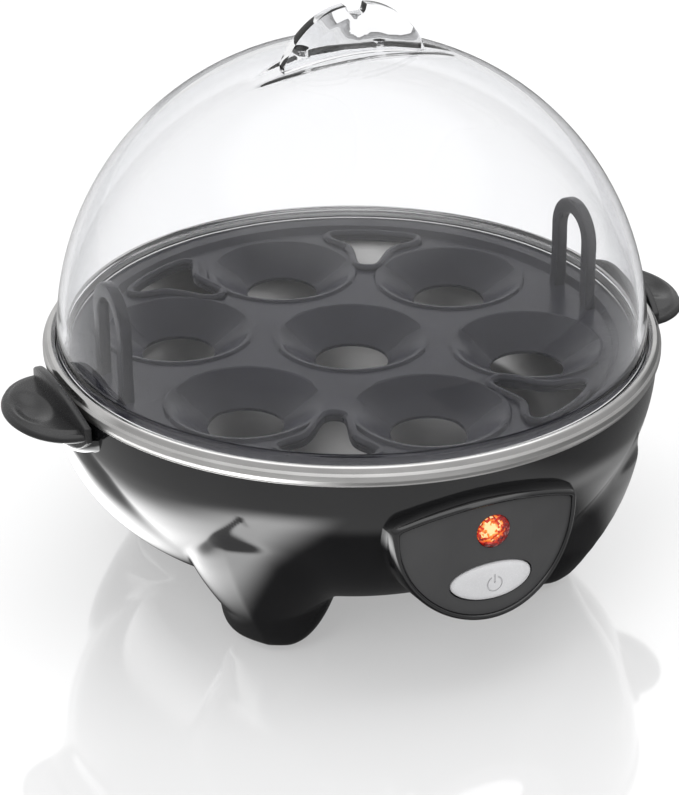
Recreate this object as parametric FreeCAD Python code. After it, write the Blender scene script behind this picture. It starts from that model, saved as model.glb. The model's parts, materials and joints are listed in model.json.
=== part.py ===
import FreeCAD, Part
import math
import os

# Egg cooker: a domed steamer for seven eggs on a round four-legged base.
# Millimetres. The origin is on the dome's axis, on the surface that the feet stand on.
# +Z is up, -Y is the front with the control panel, and the side handles are at +X and -X.

V = FreeCAD.Vector

# ---------------------------------------------------------------- driving dimensions
RIM_R = 79.7            # widest radius of the steel rim
RIM_EDGE_R = 79.0       # radius at the rim's lower edge
RIM_Z = 60.0            # height of the rim's lower edge
RIM_TOP_Z = 65.1        # crest of the rolled rim
SHEET = 1.0             # thickness of the pressed steel bowl

LEDGE_Z = 61.2          # ledge inside the rim that carries the egg tray
LEDGE_R = 72.5          # inner radius of that ledge
RIM_BORE_R = 76.6       # bore of the rim above the ledge
FLOOR_Z = 38.0          # floor of the heated water bowl
FLOOR_R = 52.0

DOME_R = 76.1           # outer radius of the clear dome
DOME_Z = 64.5           # height of the dome's centre
DOME_WALL = 2.0
DOME_FOOT_Z = 62.9      # lower edge of the dome
FIN_HALF = 19.5         # half length of the half-moon lid handle at its foot
FIN_TOP_Z = 152.4
FIN_WALL = 3.0

TRAY_Z = 61.0           # top of the tray's plate
TRAY_WALL = 1.6
TRAY_R = 70.0           # radius of the plate inside its flange
SEAT_RING_R = 45.5      # outer seats stand on this radius, one in the middle
SEAT_R = 19.0           # mouth of an egg seat
SEAT_HOLE_R = 10.5
SEAT_DEPTH = 7.0
LOOP_X = 64.5           # lifting loops of the tray
LOOP_HALF = 10.0
LOOP_TOP_Z = 88.7
LOOP_STRAP = 4.0

SHELL_R = 78.8          # black base bowl under the rim
SHELL_TOP_Z = 59.8
SHELL_FOOT_R = 49.5
SHELL_FOOT_Z = 13.0
SHELL_WALL = 2.4
SHELL_MID = (71.3, 33.0)

LEGS = {"rear_right": 45, "rear_left": 135, "front_left": 225, "front_right": 315}
LEG_TOP_Z = 47.0
LEG_HALF = 16.5         # half width of a leg at its widest
LEG_INNER_R = 47.4
LEG_TOE_R = 56.0
LEG_FOOT_Z = 1.2        # underside of the moulded leg, above its rubber pad
PAD_RING_R = 51.4
PAD_R = 3.6

HANDLE_REACH = 94.5     # outermost point of a side handle
HANDLE_HALF = 20.0
HANDLE_TAB_Z = 59.4
HANDLE_TAB_T = 3.1
BAND_IN_R = 81.0
BAND_OUT_R = 82.8
BAND_TOP_Z = 66.6

PANEL_Y = -81.6         # face of the control panel
BEZEL_Y = -82.3
CROWN_Y = -82.9         # crowns of the button and the lamp lens
PANEL_Z = 39.6          # middle of the panel's height
LAMP_Z = 45.4
LAMP_R = 4.3
BUTTON_Z = 31.8
BUTTON_A = 10.9
BUTTON_B = 4.9
BUTTON_TRAVEL = 1.6
GAP = 0.35              # running gap round the button
SWITCH_FRONT = PANEL_Y + 9.4
SWITCH_LENGTH = 15.0
PANEL_SCREWS = ((-18.6, 51.6), (18.6, 51.6))

GLAND_Z = 27.0
GLAND_BORE_R = 3.4
GLAND_END_Y = 82.7
GLAND_SEAT_Y = 76.6     # flat boss of the base that the gland's flange rests on
BLOCK_Y = 46.0          # front face of the terminal block
BLOCK_Z = 21.5          # its underside
POLE_X = 4.5
POLE_Z = 26.6
LEAD_R = 0.8


# ---------------------------------------------------------------- shape helpers
def line(a, b):
    return Part.LineSegment(V(*a), V(*b)).toShape()


def arc(a, m, b):
    return Part.Arc(V(*a), V(*m), V(*b)).toShape()


def revolve_section(steps):
    """Solid of revolution about Z. steps is a closed outline in (r, z); a step is a point for a
    straight edge or a pair (middle, end) for an arc."""
    edges = []
    here = steps[0]
    for step in steps[1:]:
        if isinstance(step[0], tuple):
            mid, end = step
            edges.append(arc((here[0], 0, here[1]), (mid[0], 0, mid[1]), (end[0], 0, end[1])))
        else:
            end = step
            edges.append(line((here[0], 0, here[1]), (end[0], 0, end[1])))
        here = end
    if here != steps[0]:
        edges.append(line((here[0], 0, here[1]), (steps[0][0], 0, steps[0][1])))
    face = Part.Face(Part.Wire(edges))
    return face.revolve(V(0, 0, 0), V(0, 0, 1), 360)


def plate_xz(steps, y0, y1):
    """Prism along Y from y0 to y1. steps is a closed outline in (x, z), as in revolve_section."""
    edges = []
    here = steps[0]
    for step in steps[1:]:
        if isinstance(step[0], tuple):
            mid, end = step
            edges.append(arc((here[0], y0, here[1]), (mid[0], y0, mid[1]), (end[0], y0, end[1])))
        else:
            end = step
            edges.append(line((here[0], y0, here[1]), (end[0], y0, end[1])))
        here = end
    if here != steps[0]:
        edges.append(line((here[0], y0, here[1]), (steps[0][0], y0, steps[0][1])))
    return Part.Face(Part.Wire(edges)).extrude(V(0, y1 - y0, 0))


def tube(outer, inner, z0, z1, x=0.0, y=0.0):
    body = Part.makeCylinder(outer, z1 - z0, V(x, y, z0))
    return body.cut(Part.makeCylinder(inner, z1 - z0, V(x, y, z0)))


def block(x0, x1, y0, y1, z0, z1):
    return Part.makeBox(x1 - x0, y1 - y0, z1 - z0, V(x0, y0, z0))


def rod_y(radius, y0, y1, x=0.0, z=0.0):
    return Part.makeCylinder(radius, y1 - y0, V(x, y0, z), V(0, 1, 0))


def turned(shape, degrees):
    copy = shape.copy()
    copy.rotate(V(0, 0, 0), V(0, 0, 1), degrees)
    return copy


def mirrored_x(shape):
    return shape.mirror(V(0, 0, 0), V(1, 0, 0))


def oval_y(half_x, half_z, y0, y1, x=0.0, z=0.0):
    ellipse = Part.Ellipse(V(x, y0, z), half_x, half_z)
    ellipse.Axis = V(0, 1, 0)
    ellipse.XAxis = V(1, 0, 0)
    return Part.Face(Part.Wire(ellipse.toShape())).extrude(V(0, y1 - y0, 0))


def screw(length, shank_r, head_r, head_h):
    """Pan-head screw along Z: head underside at z = 0, shank upwards, cross slot in the head."""
    body = Part.makeCylinder(shank_r, length).fuse(Part.makeCylinder(head_r, head_h, V(0, 0, -head_h)))
    slot = block(-head_r * 0.6, head_r * 0.6, -0.4, 0.4, -head_h, -head_h * 0.45)
    slot = slot.fuse(block(-0.4, 0.4, -head_r * 0.6, head_r * 0.6, -head_h, -head_h * 0.45))
    return body.cut(slot).removeSplitter()


def aimed(shape, direction, place):
    """Turn a shape made along +Z to point along direction, and move its origin to place."""
    copy = shape.copy()
    copy.Placement = FreeCAD.Placement(V(*place), FreeCAD.Rotation(V(0, 0, 1), V(*direction)))
    return copy


def polar(radius, degrees, z=0.0):
    angle = math.radians(degrees)
    return (radius * math.cos(angle), radius * math.sin(angle), z)


# ---------------------------------------------------------------- lid
def lid_dome():
    """Blown clear hemisphere with a short straight foot, two steam vents and a shallow oval pad
    round the slot that takes the handle."""
    outer = Part.makeSphere(DOME_R, V(0, 0, DOME_Z)).common(
        Part.makeCylinder(DOME_R + 1, DOME_R + 1, V(0, 0, DOME_Z)))
    outer = outer.fuse(Part.makeCylinder(DOME_R, DOME_Z - DOME_FOOT_Z, V(0, 0, DOME_FOOT_Z)))
    inner_r = DOME_R - DOME_WALL
    inner = Part.makeSphere(inner_r, V(0, 0, DOME_Z)).fuse(
        Part.makeCylinder(inner_r, DOME_Z - DOME_FOOT_Z + 1, V(0, 0, DOME_FOOT_Z - 1)))
    dome = outer.cut(inner)
    slot = block(-FIN_HALF + 4, FIN_HALF - 4, -FIN_WALL / 2 - 0.1, FIN_WALL / 2 + 0.1,
                 DOME_Z, FIN_TOP_Z)
    dome = dome.cut(slot)
    for side in (-1, 1):
        vent = Part.makeCylinder(1.6, 30, V(side * 10.0, 7.5, DOME_Z + 60))
        dome = dome.cut(vent)
    return dome.removeSplitter()


def lid_handle():
    """Clear half-moon fin on the crown of the dome. Its tongue drops into the dome's slot."""
    foot_z = 137.0
    low = 4.2
    fin = plate_xz([(-FIN_HALF, foot_z), ((-10.5, 148.6), (0.0, FIN_TOP_Z)),
                    ((10.5, 148.6), (FIN_HALF, foot_z))], -FIN_WALL / 2, FIN_WALL / 2)
    seat = Part.makeSphere(DOME_R + 0.02, V(0, 0, DOME_Z))
    fin = fin.fuse(block(-FIN_HALF, FIN_HALF, -FIN_WALL / 2, FIN_WALL / 2,
                         foot_z - low, foot_z)).cut(seat)
    tongue = block(-FIN_HALF + 4.1, FIN_HALF - 4.1, -FIN_WALL / 2, FIN_WALL / 2, DOME_Z + 60, 142.0)
    tongue = tongue.common(Part.makeSphere(DOME_R + 0.3, V(0, 0, DOME_Z)))
    tongue = tongue.cut(Part.makeSphere(DOME_R - DOME_WALL, V(0, 0, DOME_Z)))
    fin = fin.fuse(tongue)
    notch = block(-2.4, 3.2, -FIN_WALL, FIN_WALL, FIN_TOP_Z - 2.4, FIN_TOP_Z + 1)
    return fin.cut(notch).removeSplitter()


# ---------------------------------------------------------------- egg tray
def seat_places():
    places = [(0.0, 0.0)]
    for k in range(6):
        x, y, _ = polar(SEAT_RING_R, -90 + 60 * k)
        places.append((x, y))
    return places


def steam_opening(degrees):
    """Bell-shaped opening between two outer seats, its narrow end inward, as a cutting prism."""
    tip, foot, half = 45.5, 62.5, 11.5
    z0 = TRAY_Z - 12
    points = [(tip, -2.6), (tip, 2.6), (foot - 6, 5.2), (foot - 0.8, half), (foot + 1.4, half - 0.4),
              (foot + 3.2, 0.0), (foot + 1.4, -half + 0.4), (foot - 0.8, -half), (foot - 6, -5.2)]
    edges = [arc((tip, -2.6, z0), (tip - 1.6, 0, z0), (tip, 2.6, z0)),
             line((*points[1], z0), (*points[2], z0)),
             line((*points[2], z0), (*points[3], z0)),
             line((*points[3], z0), (*points[4], z0)),
             arc((*points[4], z0), (*points[5], z0), (*points[6], z0)),
             line((*points[6], z0), (*points[7], z0)),
             line((*points[7], z0), (*points[8], z0)),
             line((*points[8], z0), (*points[0], z0))]
    prism = Part.Face(Part.Wire(edges)).extrude(V(0, 0, 24))
    return turned(prism, degrees)


def egg_tray():
    """Black plate with seven cupped seats, four steam openings, a stepped flange that rests on the
    bowl's ledge and two arched lifting loops."""
    under = TRAY_Z - TRAY_WALL
    flange_top = LEDGE_Z + 1.4
    rest = LEDGE_Z + 0.1
    plate = revolve_section([(0, under), (TRAY_R, under), (TRAY_R, rest), (RIM_BORE_R - 0.5, rest),
                             (RIM_BORE_R - 0.5, flange_top), (TRAY_R - 1.4, flange_top),
                             (TRAY_R - 2.2, TRAY_Z), (0, TRAY_Z)])
    cups = []
    for x, y in seat_places():
        cone = Part.makeCone(SEAT_HOLE_R + TRAY_WALL, SEAT_R + TRAY_WALL, SEAT_DEPTH,
                             V(x, y, TRAY_Z - SEAT_DEPTH))
        cups.append(cone)
    tray = plate.fuse(cups)
    for x, y in seat_places():
        tray = tray.cut(Part.makeCone(SEAT_HOLE_R + 0.4, SEAT_R, SEAT_DEPTH - 0.6,
                                      V(x, y, TRAY_Z - SEAT_DEPTH + 0.6)))
        tray = tray.cut(Part.makeCylinder(SEAT_HOLE_R, 6, V(x, y, TRAY_Z - SEAT_DEPTH - 2)))
    for degrees in (-120, -60, 60, 120):
        tray = tray.cut(steam_opening(degrees))
    tray = tray.fuse([lifting_loop(side) for side in (-1, 1)])
    return tray.removeSplitter()


def lifting_loop(side):
    """Arch of flat strap standing on the tray at one side."""
    z0 = TRAY_Z - 0.6
    shoulder = LOOP_TOP_Z - LOOP_HALF
    inner = LOOP_HALF - LOOP_STRAP
    steps = [(-LOOP_HALF, z0), (-LOOP_HALF, shoulder), ((0, LOOP_TOP_Z), (LOOP_HALF, shoulder)),
             (LOOP_HALF, z0), (inner, z0), (inner, shoulder),
             ((0, shoulder + inner), (-inner, shoulder)), (-inner, z0)]
    strap = plate_xz(steps, -1.5, 1.5)
    strap.rotate(V(0, 0, 0), V(0, 0, 1), 90)
    strap.translate(V(side * (LOOP_X + 0.6), 0, 0))
    return strap


# ---------------------------------------------------------------- heated bowl and its seal
def heating_bowl():
    """Pressed steel water bowl with a rolled rim that hooks over the base."""
    t = SHEET
    return revolve_section([
        (0, FLOOR_Z), (FLOOR_R, FLOOR_Z), ((FLOOR_R + 4.6, FLOOR_Z + 1.4), (FLOOR_R + 7.6, FLOOR_Z + 4.6)),
        (LEDGE_R - 1.2, LEDGE_Z - 1.4), ((LEDGE_R - 0.7, LEDGE_Z - 0.4), (LEDGE_R + 0.4, LEDGE_Z)),
        (RIM_BORE_R, LEDGE_Z), (RIM_BORE_R, RIM_TOP_Z - 1.4),
        ((RIM_BORE_R + 1.0, RIM_TOP_Z), (RIM_R - 1.2, RIM_TOP_Z - 0.3)),
        ((RIM_R, RIM_TOP_Z - 1.8), (RIM_R, RIM_Z + 2.0)), (RIM_EDGE_R, RIM_Z),
        (RIM_EDGE_R - 0.7, RIM_Z), (RIM_R - t, RIM_Z + 2.0),
        ((RIM_R - t - 0.2, RIM_TOP_Z - 1.7), (RIM_R - 1.7, RIM_TOP_Z - 1.1)),
        (RIM_BORE_R + t, RIM_TOP_Z - 1.5), (RIM_BORE_R + t, LEDGE_Z - t),
        (LEDGE_R, LEDGE_Z - t), (LEDGE_R - 0.2, LEDGE_Z - t - 1.0),
        (FLOOR_R + 8.6, FLOOR_Z + 3.8), ((FLOOR_R + 5.2, FLOOR_Z + 0.4), (FLOOR_R, FLOOR_Z - t)),
        (0, FLOOR_Z - t)])


def rim_seal():
    return tube(RIM_BORE_R + 0.8, LEDGE_R + 1.4, LEDGE_Z - SHEET - 1.5, LEDGE_Z - SHEET)


# ---------------------------------------------------------------- base shell
def bowl_body(inset=0.0):
    """Outside of the base bowl as a solid, moved inwards by inset."""
    return revolve_section([
        (0, SHELL_FOOT_Z + inset), (SHELL_FOOT_R - inset, SHELL_FOOT_Z + inset),
        ((SHELL_MID[0] - inset * 0.86, SHELL_MID[1] + inset * 0.5), (SHELL_R - inset, SHELL_TOP_Z)),
        (0, SHELL_TOP_Z)])


def leg_body(inset=0.0):
    """One leg as a solid: a rounded lobe, pointed at its top, moved inwards by inset."""
    low = LEG_FOOT_Z + inset
    ridge = revolve_section([
        (LEG_INNER_R + inset, low), (LEG_TOE_R - inset * 0.5, low),
        ((63.0 - inset, 6.0 + inset * 0.4), (68.0 - inset, 14.0)),
        ((74.4 - inset, 28.0), (78.0 - inset, LEG_TOP_Z + 2)), (LEG_INNER_R + inset, LEG_TOP_Z + 2)])
    half = LEG_HALF - inset
    top = LEG_TOP_Z - inset
    petal = plate_xz([(0, low - 3), ((-8.5 + inset * 0.7, 2.4 + inset), (-half + 1.6, 13.0)),
                      ((-half, 23.0), (-half + 2.2, 32.0)), ((-half + 7.6, 41.0), (0, top)),
                      ((half - 7.6, 41.0), (half - 2.2, 32.0)),
                      ((half, 23.0), (half - 1.6, 13.0)), ((8.5 - inset * 0.7, 2.4 + inset), (0, low - 3))],
                     -90, -40)
    return ridge.common(petal)


def handle_pocket(side):
    """U-shaped lug of the base at one side, with the slot that a side handle drops into."""
    ring = tube(BAND_OUT_R + 1.6, SHELL_R - 3.2, 48.8, 55.9)
    outline = plate_xz([(-HANDLE_HALF, 62), (-HANDLE_HALF, 57.5), ((0, 48.9), (HANDLE_HALF, 57.5)),
                        (HANDLE_HALF, 62)], 70, 90)
    lug = ring.common(turned(outline, -90))
    slot = tube(BAND_OUT_R + 0.1, BAND_IN_R - 0.1, 52.0, 57.0)
    reach = block(60, 90, -HANDLE_HALF + 1.9, HANDLE_HALF - 1.9, 48, 60)
    lug = lug.cut(slot.common(reach))
    return lug if side > 0 else mirrored_x(lug)


def panel_outline(inset=0.0):
    """Shield shape of the control panel: wide and gently arched above, rounded below."""
    k = inset
    z = PANEL_Z
    return [(-18.6 + k * 0.6, z + 16.0 - k), ((0, z + 17.6 - k), (18.6 - k * 0.6, z + 16.0 - k)),
            ((22.2 - k * 0.8, z + 14.2 - k * 0.7), (23.4 - k, z + 10.4)),
            ((19.2 - k * 0.9, z - 4.4 + k * 0.3), (9.2 - k * 0.5, z - 14.6 + k * 0.8)),
            ((0, z - 17.6 + k), (-9.2 + k * 0.5, z - 14.6 + k * 0.8)),
            ((-19.2 + k * 0.9, z - 4.4 + k * 0.3), (-23.4 + k, z + 10.4)),
            ((-22.2 + k * 0.8, z + 14.2 - k * 0.7), (-18.6 + k * 0.6, z + 16.0 - k))]


def base_shell():
    """Black bowl on four hollow legs, open at the top and the bottom."""
    outside = bowl_body().fuse([turned(leg_body(), 90 + a) for a in LEGS.values()])
    outside = outside.fuse([handle_pocket(1), handle_pocket(-1)])
    hollow = bowl_body(SHELL_WALL).cut(Part.makeCylinder(90, 6.0, V(0, 0, SHELL_FOOT_Z - 1)))
    cavities = [turned(leg_body(SHELL_WALL), 90 + a) for a in LEGS.values()]
    shell = outside.cut(hollow.fuse(cavities))
    # seat for the bottom cover, and the opening above it
    shell = shell.cut(Part.makeCylinder(46.9, 2.6, V(0, 0, SHELL_FOOT_Z)))
    shell = shell.cut(Part.makeCylinder(40.0, 12.0, V(0, 0, SHELL_FOOT_Z)))
    # shoulder for the rim seal
    shoulder = tube(SHELL_R - SHELL_WALL + 0.1, LEDGE_R + 1.0, LEDGE_Z - SHEET - 4.0, LEDGE_Z - SHEET - 1.5)
    cone = Part.makeCone(LEDGE_R - 0.4, LEDGE_R + 3.6, 4.0, V(0, 0, LEDGE_Z - SHEET - 5.5))
    shell = shell.fuse(shoulder.cut(cone))
    top_trim = tube(90, RIM_BORE_R + 0.9, LEDGE_Z - SHEET - 1.5, SHELL_TOP_Z)
    keep = shell.cut(tube(RIM_BORE_R + 0.9, 0.1, LEDGE_Z - SHEET - 1.5, SHELL_TOP_Z + 1))
    shell = keep.fuse(top_trim.common(bowl_body()))
    # windows behind the control panel for the button and the lamp
    shell = shell.cut(oval_y(13.6, 7.6, -90, -50, 0, BUTTON_Z))
    shell = shell.cut(rod_y(6.2, -90, -50, 0, LAMP_Z))
    # ledge that carries the terminal block
    ledge = block(-9.0, 9.0, BLOCK_Y - 1.0, 56.0, SHELL_FOOT_Z + 4.0, BLOCK_Z)
    shell = shell.fuse(ledge.common(bowl_body(0.5)))
    # bore for the cord gland, on a flat boss
    boss = rod_y(9.0, 60, GLAND_SEAT_Y, 0, GLAND_Z).cut(bowl_body(SHELL_WALL))
    shell = shell.fuse(boss).cut(rod_y(5.6, 50, 90, 0, GLAND_Z))
    # holes for the four screws of the bottom cover
    for degrees in (0, 90, 180, 270):
        x, y, _ = polar(43.4, degrees)
        shell = shell.cut(Part.makeCylinder(1.35, 12, V(x, y, SHELL_FOOT_Z)))
    # holes for the handle screws
    for place, direction in handle_screw_places():
        shell = shell.cut(aimed(Part.makeCylinder(1.6, 12), direction, place))
    for x, z in PANEL_SCREWS:
        shell = shell.cut(rod_y(1.6, -90, -50, x, z))
    # sockets for the pegs of the foot pads
    for degrees in LEGS.values():
        shell = shell.cut(Part.makeCylinder(1.55, 1.8, V(*polar(PAD_RING_R, degrees, LEG_FOOT_Z))))
    return shell.removeSplitter()


def handle_screw_places():
    """Start points and directions of the side handles' screws, inside the base wall."""
    return [((side * 74.8, y, 53.4), (side, 0, 0)) for side in (-1, 1) for y in (-9.0, 9.0)]


def bottom_cover():
    """Flat disc under the base with vent slots and four counterbored screw holes."""
    disc = Part.makeCylinder(46.7, 2.4, V(0, 0, SHELL_FOOT_Z))
    slots = []
    for k in range(10):
        for radius in (12.0, 22.0):
            slot = block(radius, radius + 7.0, -1.0, 1.0, SHELL_FOOT_Z - 1, SHELL_FOOT_Z + 4)
            slots.append(turned(slot, 36 * k + (18 if radius > 20 else 0)))
    disc = disc.cut(slots)
    for degrees in (0, 90, 180, 270):
        x, y, _ = polar(43.4, degrees)
        disc = disc.cut(Part.makeCylinder(1.6, 4, V(x, y, SHELL_FOOT_Z - 1)))
        disc = disc.cut(Part.makeCylinder(2.7, 1.0, V(x, y, SHELL_FOOT_Z)))
    return disc


def bottom_screws():
    one = screw(3.9, 1.3, 2.5, 1.0)
    return Part.makeCompound([aimed(one, (0, 0, 1), polar(43.4, a, SHELL_FOOT_Z + 1.0))
                              for a in (0, 90, 180, 270)])


def foot_pad(degrees):
    x, y, _ = polar(PAD_RING_R, degrees)
    pad = Part.makeCylinder(PAD_R, LEG_FOOT_Z, V(x, y, 0))
    return pad.fuse(Part.makeCylinder(1.5, 1.6, V(x, y, LEG_FOOT_Z))).removeSplitter()


# ---------------------------------------------------------------- side handles
def side_handle(side):
    """Half-oval thumb tab with an arched plate at its root that drops into the base's pocket."""
    band = tube(BAND_OUT_R, BAND_IN_R, 52.2, BAND_TOP_Z)
    outline = plate_xz([(-HANDLE_HALF + 2.1, 52.2), (-HANDLE_HALF + 2.1, 56.0), (-HANDLE_HALF, 56.2),
                        (-HANDLE_HALF, 62.0), ((0, BAND_TOP_Z), (HANDLE_HALF, 62.0)),
                        (HANDLE_HALF, 56.2), (HANDLE_HALF - 2.1, 56.0), (HANDLE_HALF - 2.1, 52.2)], 70, 90)
    band = band.common(turned(outline, -90))
    low = HANDLE_TAB_Z - HANDLE_TAB_T
    root = BAND_OUT_R - 2.4
    tab = Part.Ellipse(V(root, 0, low), HANDLE_HALF, HANDLE_REACH - root)
    tab.XAxis = V(0, 1, 0)
    slab = Part.Face(Part.Wire(tab.toShape())).extrude(V(0, 0, HANDLE_TAB_T))
    slab = slab.cut(Part.makeCylinder(BAND_IN_R + 0.8, 20, V(0, 0, 50)))
    slab = slab.common(block(70, 100, -30, 30, 50, 70))
    dimple = Part.makeSphere(14.0, V(0, 0, 0))
    stretch = FreeCAD.Matrix()
    stretch.scale(0.72, 1.0, 0.5)
    dimple = dimple.transformGeometry(stretch)
    dimple.translate(V(87.6, 0, HANDLE_TAB_Z + 5.9))
    handle = band.fuse(slab.cut(dimple))
    for place, direction in handle_screw_places():
        if place[0] > 0:
            handle = handle.cut(aimed(Part.makeCylinder(1.25, 12), direction, place))
    handle = handle.removeSplitter()
    return handle if side > 0 else mirrored_x(handle)


def handle_screws():
    one = screw(7.2, 1.2, 2.4, 1.1)
    return Part.makeCompound([aimed(one, d, p) for p, d in handle_screw_places()])


# ---------------------------------------------------------------- control panel
def panel_housing():
    """Glossy shield-shaped hood with a raised bezel, cut to the base bowl behind."""
    body = plate_xz(panel_outline(), BEZEL_Y, -58)
    body = body.cut(bowl_body(0.0))
    body = body.cut(plate_xz(panel_outline(2.0), PANEL_Y + 3.4, -50))
    body = body.cut(plate_xz(panel_outline(1.5), BEZEL_Y - 1, PANEL_Y + 1.3))
    body = body.cut(plate_xz(panel_outline(3.6), BEZEL_Y - 1, -50))
    body = body.cut(oval_y(BUTTON_A + GAP + 1.3, BUTTON_B + GAP + 1.3, -90, -50, 0, BUTTON_Z))
    bosses = []
    for x, z in PANEL_SCREWS:
        boss = rod_y(2.6, PANEL_Y + 1.4, -68, x, z).cut(bowl_body(0.0))
        bosses.append(boss.common(plate_xz(panel_outline(0.8), -90, -50)))
    body = body.fuse(bosses)
    for x, z in PANEL_SCREWS:
        body = body.cut(rod_y(1.15, PANEL_Y + 2.6, -50, x, z))
    return body.removeSplitter()


def panel_face():
    """Satin plate in the bezel, with a round hole for the lamp and an oval one for the button."""
    face = plate_xz(panel_outline(1.6), PANEL_Y, PANEL_Y + 1.3)
    collar = oval_y(BUTTON_A + GAP + 1.2, BUTTON_B + GAP + 1.2, PANEL_Y + 1.3, PANEL_Y + 4.2, 0, BUTTON_Z)
    face = face.fuse(collar)
    face = face.cut(oval_y(BUTTON_A + GAP, BUTTON_B + GAP, PANEL_Y - 1, PANEL_Y + 6, 0, BUTTON_Z))
    return face.cut(rod_y(LAMP_R + 0.05, PANEL_Y - 1, PANEL_Y + 3, 0, LAMP_Z)).removeSplitter()


def panel_screws():
    one = screw(6.4, 1.1, 2.3, 1.0)
    return Part.makeCompound([aimed(one, (0, -1, 0), (x, -71.9, z)) for x, z in PANEL_SCREWS])


def power_button():
    """Oval push button, slightly domed, with a shallow generic power sign and a flange behind."""
    crown = CROWN_Y
    button = oval_y(BUTTON_A, BUTTON_B, crown, PANEL_Y + 5.2, 0, BUTTON_Z)
    button = button.common(Part.makeSphere(120, V(0, crown + 120, BUTTON_Z)))
    flange = oval_y(BUTTON_A + GAP + 0.9, BUTTON_B + GAP + 0.9, PANEL_Y + 4.4, PANEL_Y + 5.4, 0, BUTTON_Z)
    button = button.fuse(flange)
    ring = rod_y(2.3, crown - 1, crown + 0.25, 0, BUTTON_Z - 0.2)
    ring = ring.cut(rod_y(1.9, crown - 1, crown + 0.25, 0, BUTTON_Z - 0.2))
    ring = ring.cut(block(-0.75, 0.75, crown - 1, crown + 1, BUTTON_Z + 0.5, BUTTON_Z + 3))
    stroke = block(-0.2, 0.2, crown - 1, crown + 0.25, BUTTON_Z, BUTTON_Z + 2.5)
    return button.cut([ring, stroke]).removeSplitter()


def switch_plunger():
    return rod_y(1.7, PANEL_Y + 5.4, SWITCH_FRONT + 3.0, 0, BUTTON_Z)


def button_spring():
    """Small coil spring round the plunger, between the button and the switch."""
    y0 = PANEL_Y + 5.5
    y1 = SWITCH_FRONT - 0.1
    wire = 0.25
    helix = Part.makeHelix((y1 - y0 - 2 * wire) / 3.5, y1 - y0 - 2 * wire, 2.6)
    start = Part.Wire(Part.makeCircle(wire, V(2.6, 0, 0), V(0, 1, 0)))
    coil = Part.Wire(helix.Edges).makePipeShell([start], True, True)
    coil.rotate(V(0, 0, 0), V(1, 0, 0), -90)
    coil.translate(V(0, y0 + wire, BUTTON_Z))
    return coil


def switch_body():
    """Push-on push-off switch behind the button, open where its plunger enters."""
    body = block(-6.5, 6.5, SWITCH_FRONT, SWITCH_FRONT + SWITCH_LENGTH, BUTTON_Z - 4.6, BUTTON_Z + 4.6)
    ears = block(-9.0, 9.0, SWITCH_FRONT + 8.6, SWITCH_FRONT + 10.2, BUTTON_Z - 2.8, BUTTON_Z + 3.0)
    body = body.fuse(ears)
    return body.cut(rod_y(1.85, SWITCH_FRONT - 1, SWITCH_FRONT + 5.6, 0, BUTTON_Z)).removeSplitter()


def switch_terminals():
    y0 = SWITCH_FRONT + SWITCH_LENGTH
    tabs = []
    for side in (-1, 1):
        tab = block(side * 3.4 - 0.4, side * 3.4 + 0.4, y0, y0 + 6.0, BUTTON_Z - 2.4, BUTTON_Z + 2.4)
        tabs.append(tab.cut(Part.makeCylinder(0.8, 4, V(side * 3.4 - 2, y0 + 3.6, BUTTON_Z), V(1, 0, 0))))
    return Part.makeCompound(tabs)


def indicator_lens():
    """Red domed lens with a flange behind the panel face."""
    crown = CROWN_Y
    r = LAMP_R
    dome = rod_y(r, crown, PANEL_Y + 3.4, 0, LAMP_Z).common(Part.makeSphere(8.0, V(0, crown + 8.0, LAMP_Z)))
    lens = dome.fuse(rod_y(r + 1.2, PANEL_Y + 1.35, PANEL_Y + 2.6, 0, LAMP_Z))
    return lens.cut(rod_y(r - 1.1, PANEL_Y + 0.9, PANEL_Y + 6, 0, LAMP_Z)).removeSplitter()


def lamp_holder():
    y0 = PANEL_Y + 2.6
    return rod_y(5.4, y0 + 0.8, y0 + 12.0, 0, LAMP_Z).cut(rod_y(3.05, y0 - 1, y0 + 14, 0, LAMP_Z))


def indicator_lamp():
    """Neon bulb: a small glass capsule with a domed end."""
    y0 = PANEL_Y + 1.6
    bulb = rod_y(2.7, y0 + 2.7, y0 + 14.0, 0, LAMP_Z)
    return bulb.fuse(Part.makeSphere(2.7, V(0, y0 + 2.7, LAMP_Z))).removeSplitter()


# ---------------------------------------------------------------- heating parts under the bowl
PLATE_TOP = FLOOR_Z - SHEET
PLATE_T = 2.0
ELEMENT_R = 30.0
ELEMENT_TUBE_R = 3.2
STUD_RING_R = 40.0


def heater_plate():
    """Aluminium spreader under the bowl's floor."""
    return Part.makeCylinder(46.0, PLATE_T, V(0, 0, PLATE_TOP - PLATE_T))


def heating_element():
    """Tubular heating element bent into an open ring, tangent to the spreader."""
    z = PLATE_TOP - PLATE_T - ELEMENT_TUBE_R
    ring = Part.makeTorus(ELEMENT_R, ELEMENT_TUBE_R, V(0, 0, z), V(0, 0, 1), -180, 180, 290)
    return turned(ring, 125)


def element_insulators():
    z = PLATE_TOP - PLATE_T - ELEMENT_TUBE_R
    out = []
    for degrees, sense in ((125, -1), (55, 1)):
        place = polar(ELEMENT_R, degrees, z)
        along = polar(1, degrees + 90 * sense)
        out.append(aimed(Part.makeCylinder(2.4, 3.4), along, place))
    return Part.makeCompound(out)


def element_pins():
    z = PLATE_TOP - PLATE_T - ELEMENT_TUBE_R
    out = []
    for degrees, sense in ((125, -1), (55, 1)):
        place = V(*polar(ELEMENT_R, degrees, z)) + V(*polar(3.4, degrees + 90 * sense))
        along = polar(1, degrees + 90 * sense)
        out.append(aimed(Part.makeCylinder(0.9, 5.0), along, tuple(place)))
    return Part.makeCompound(out)


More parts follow.
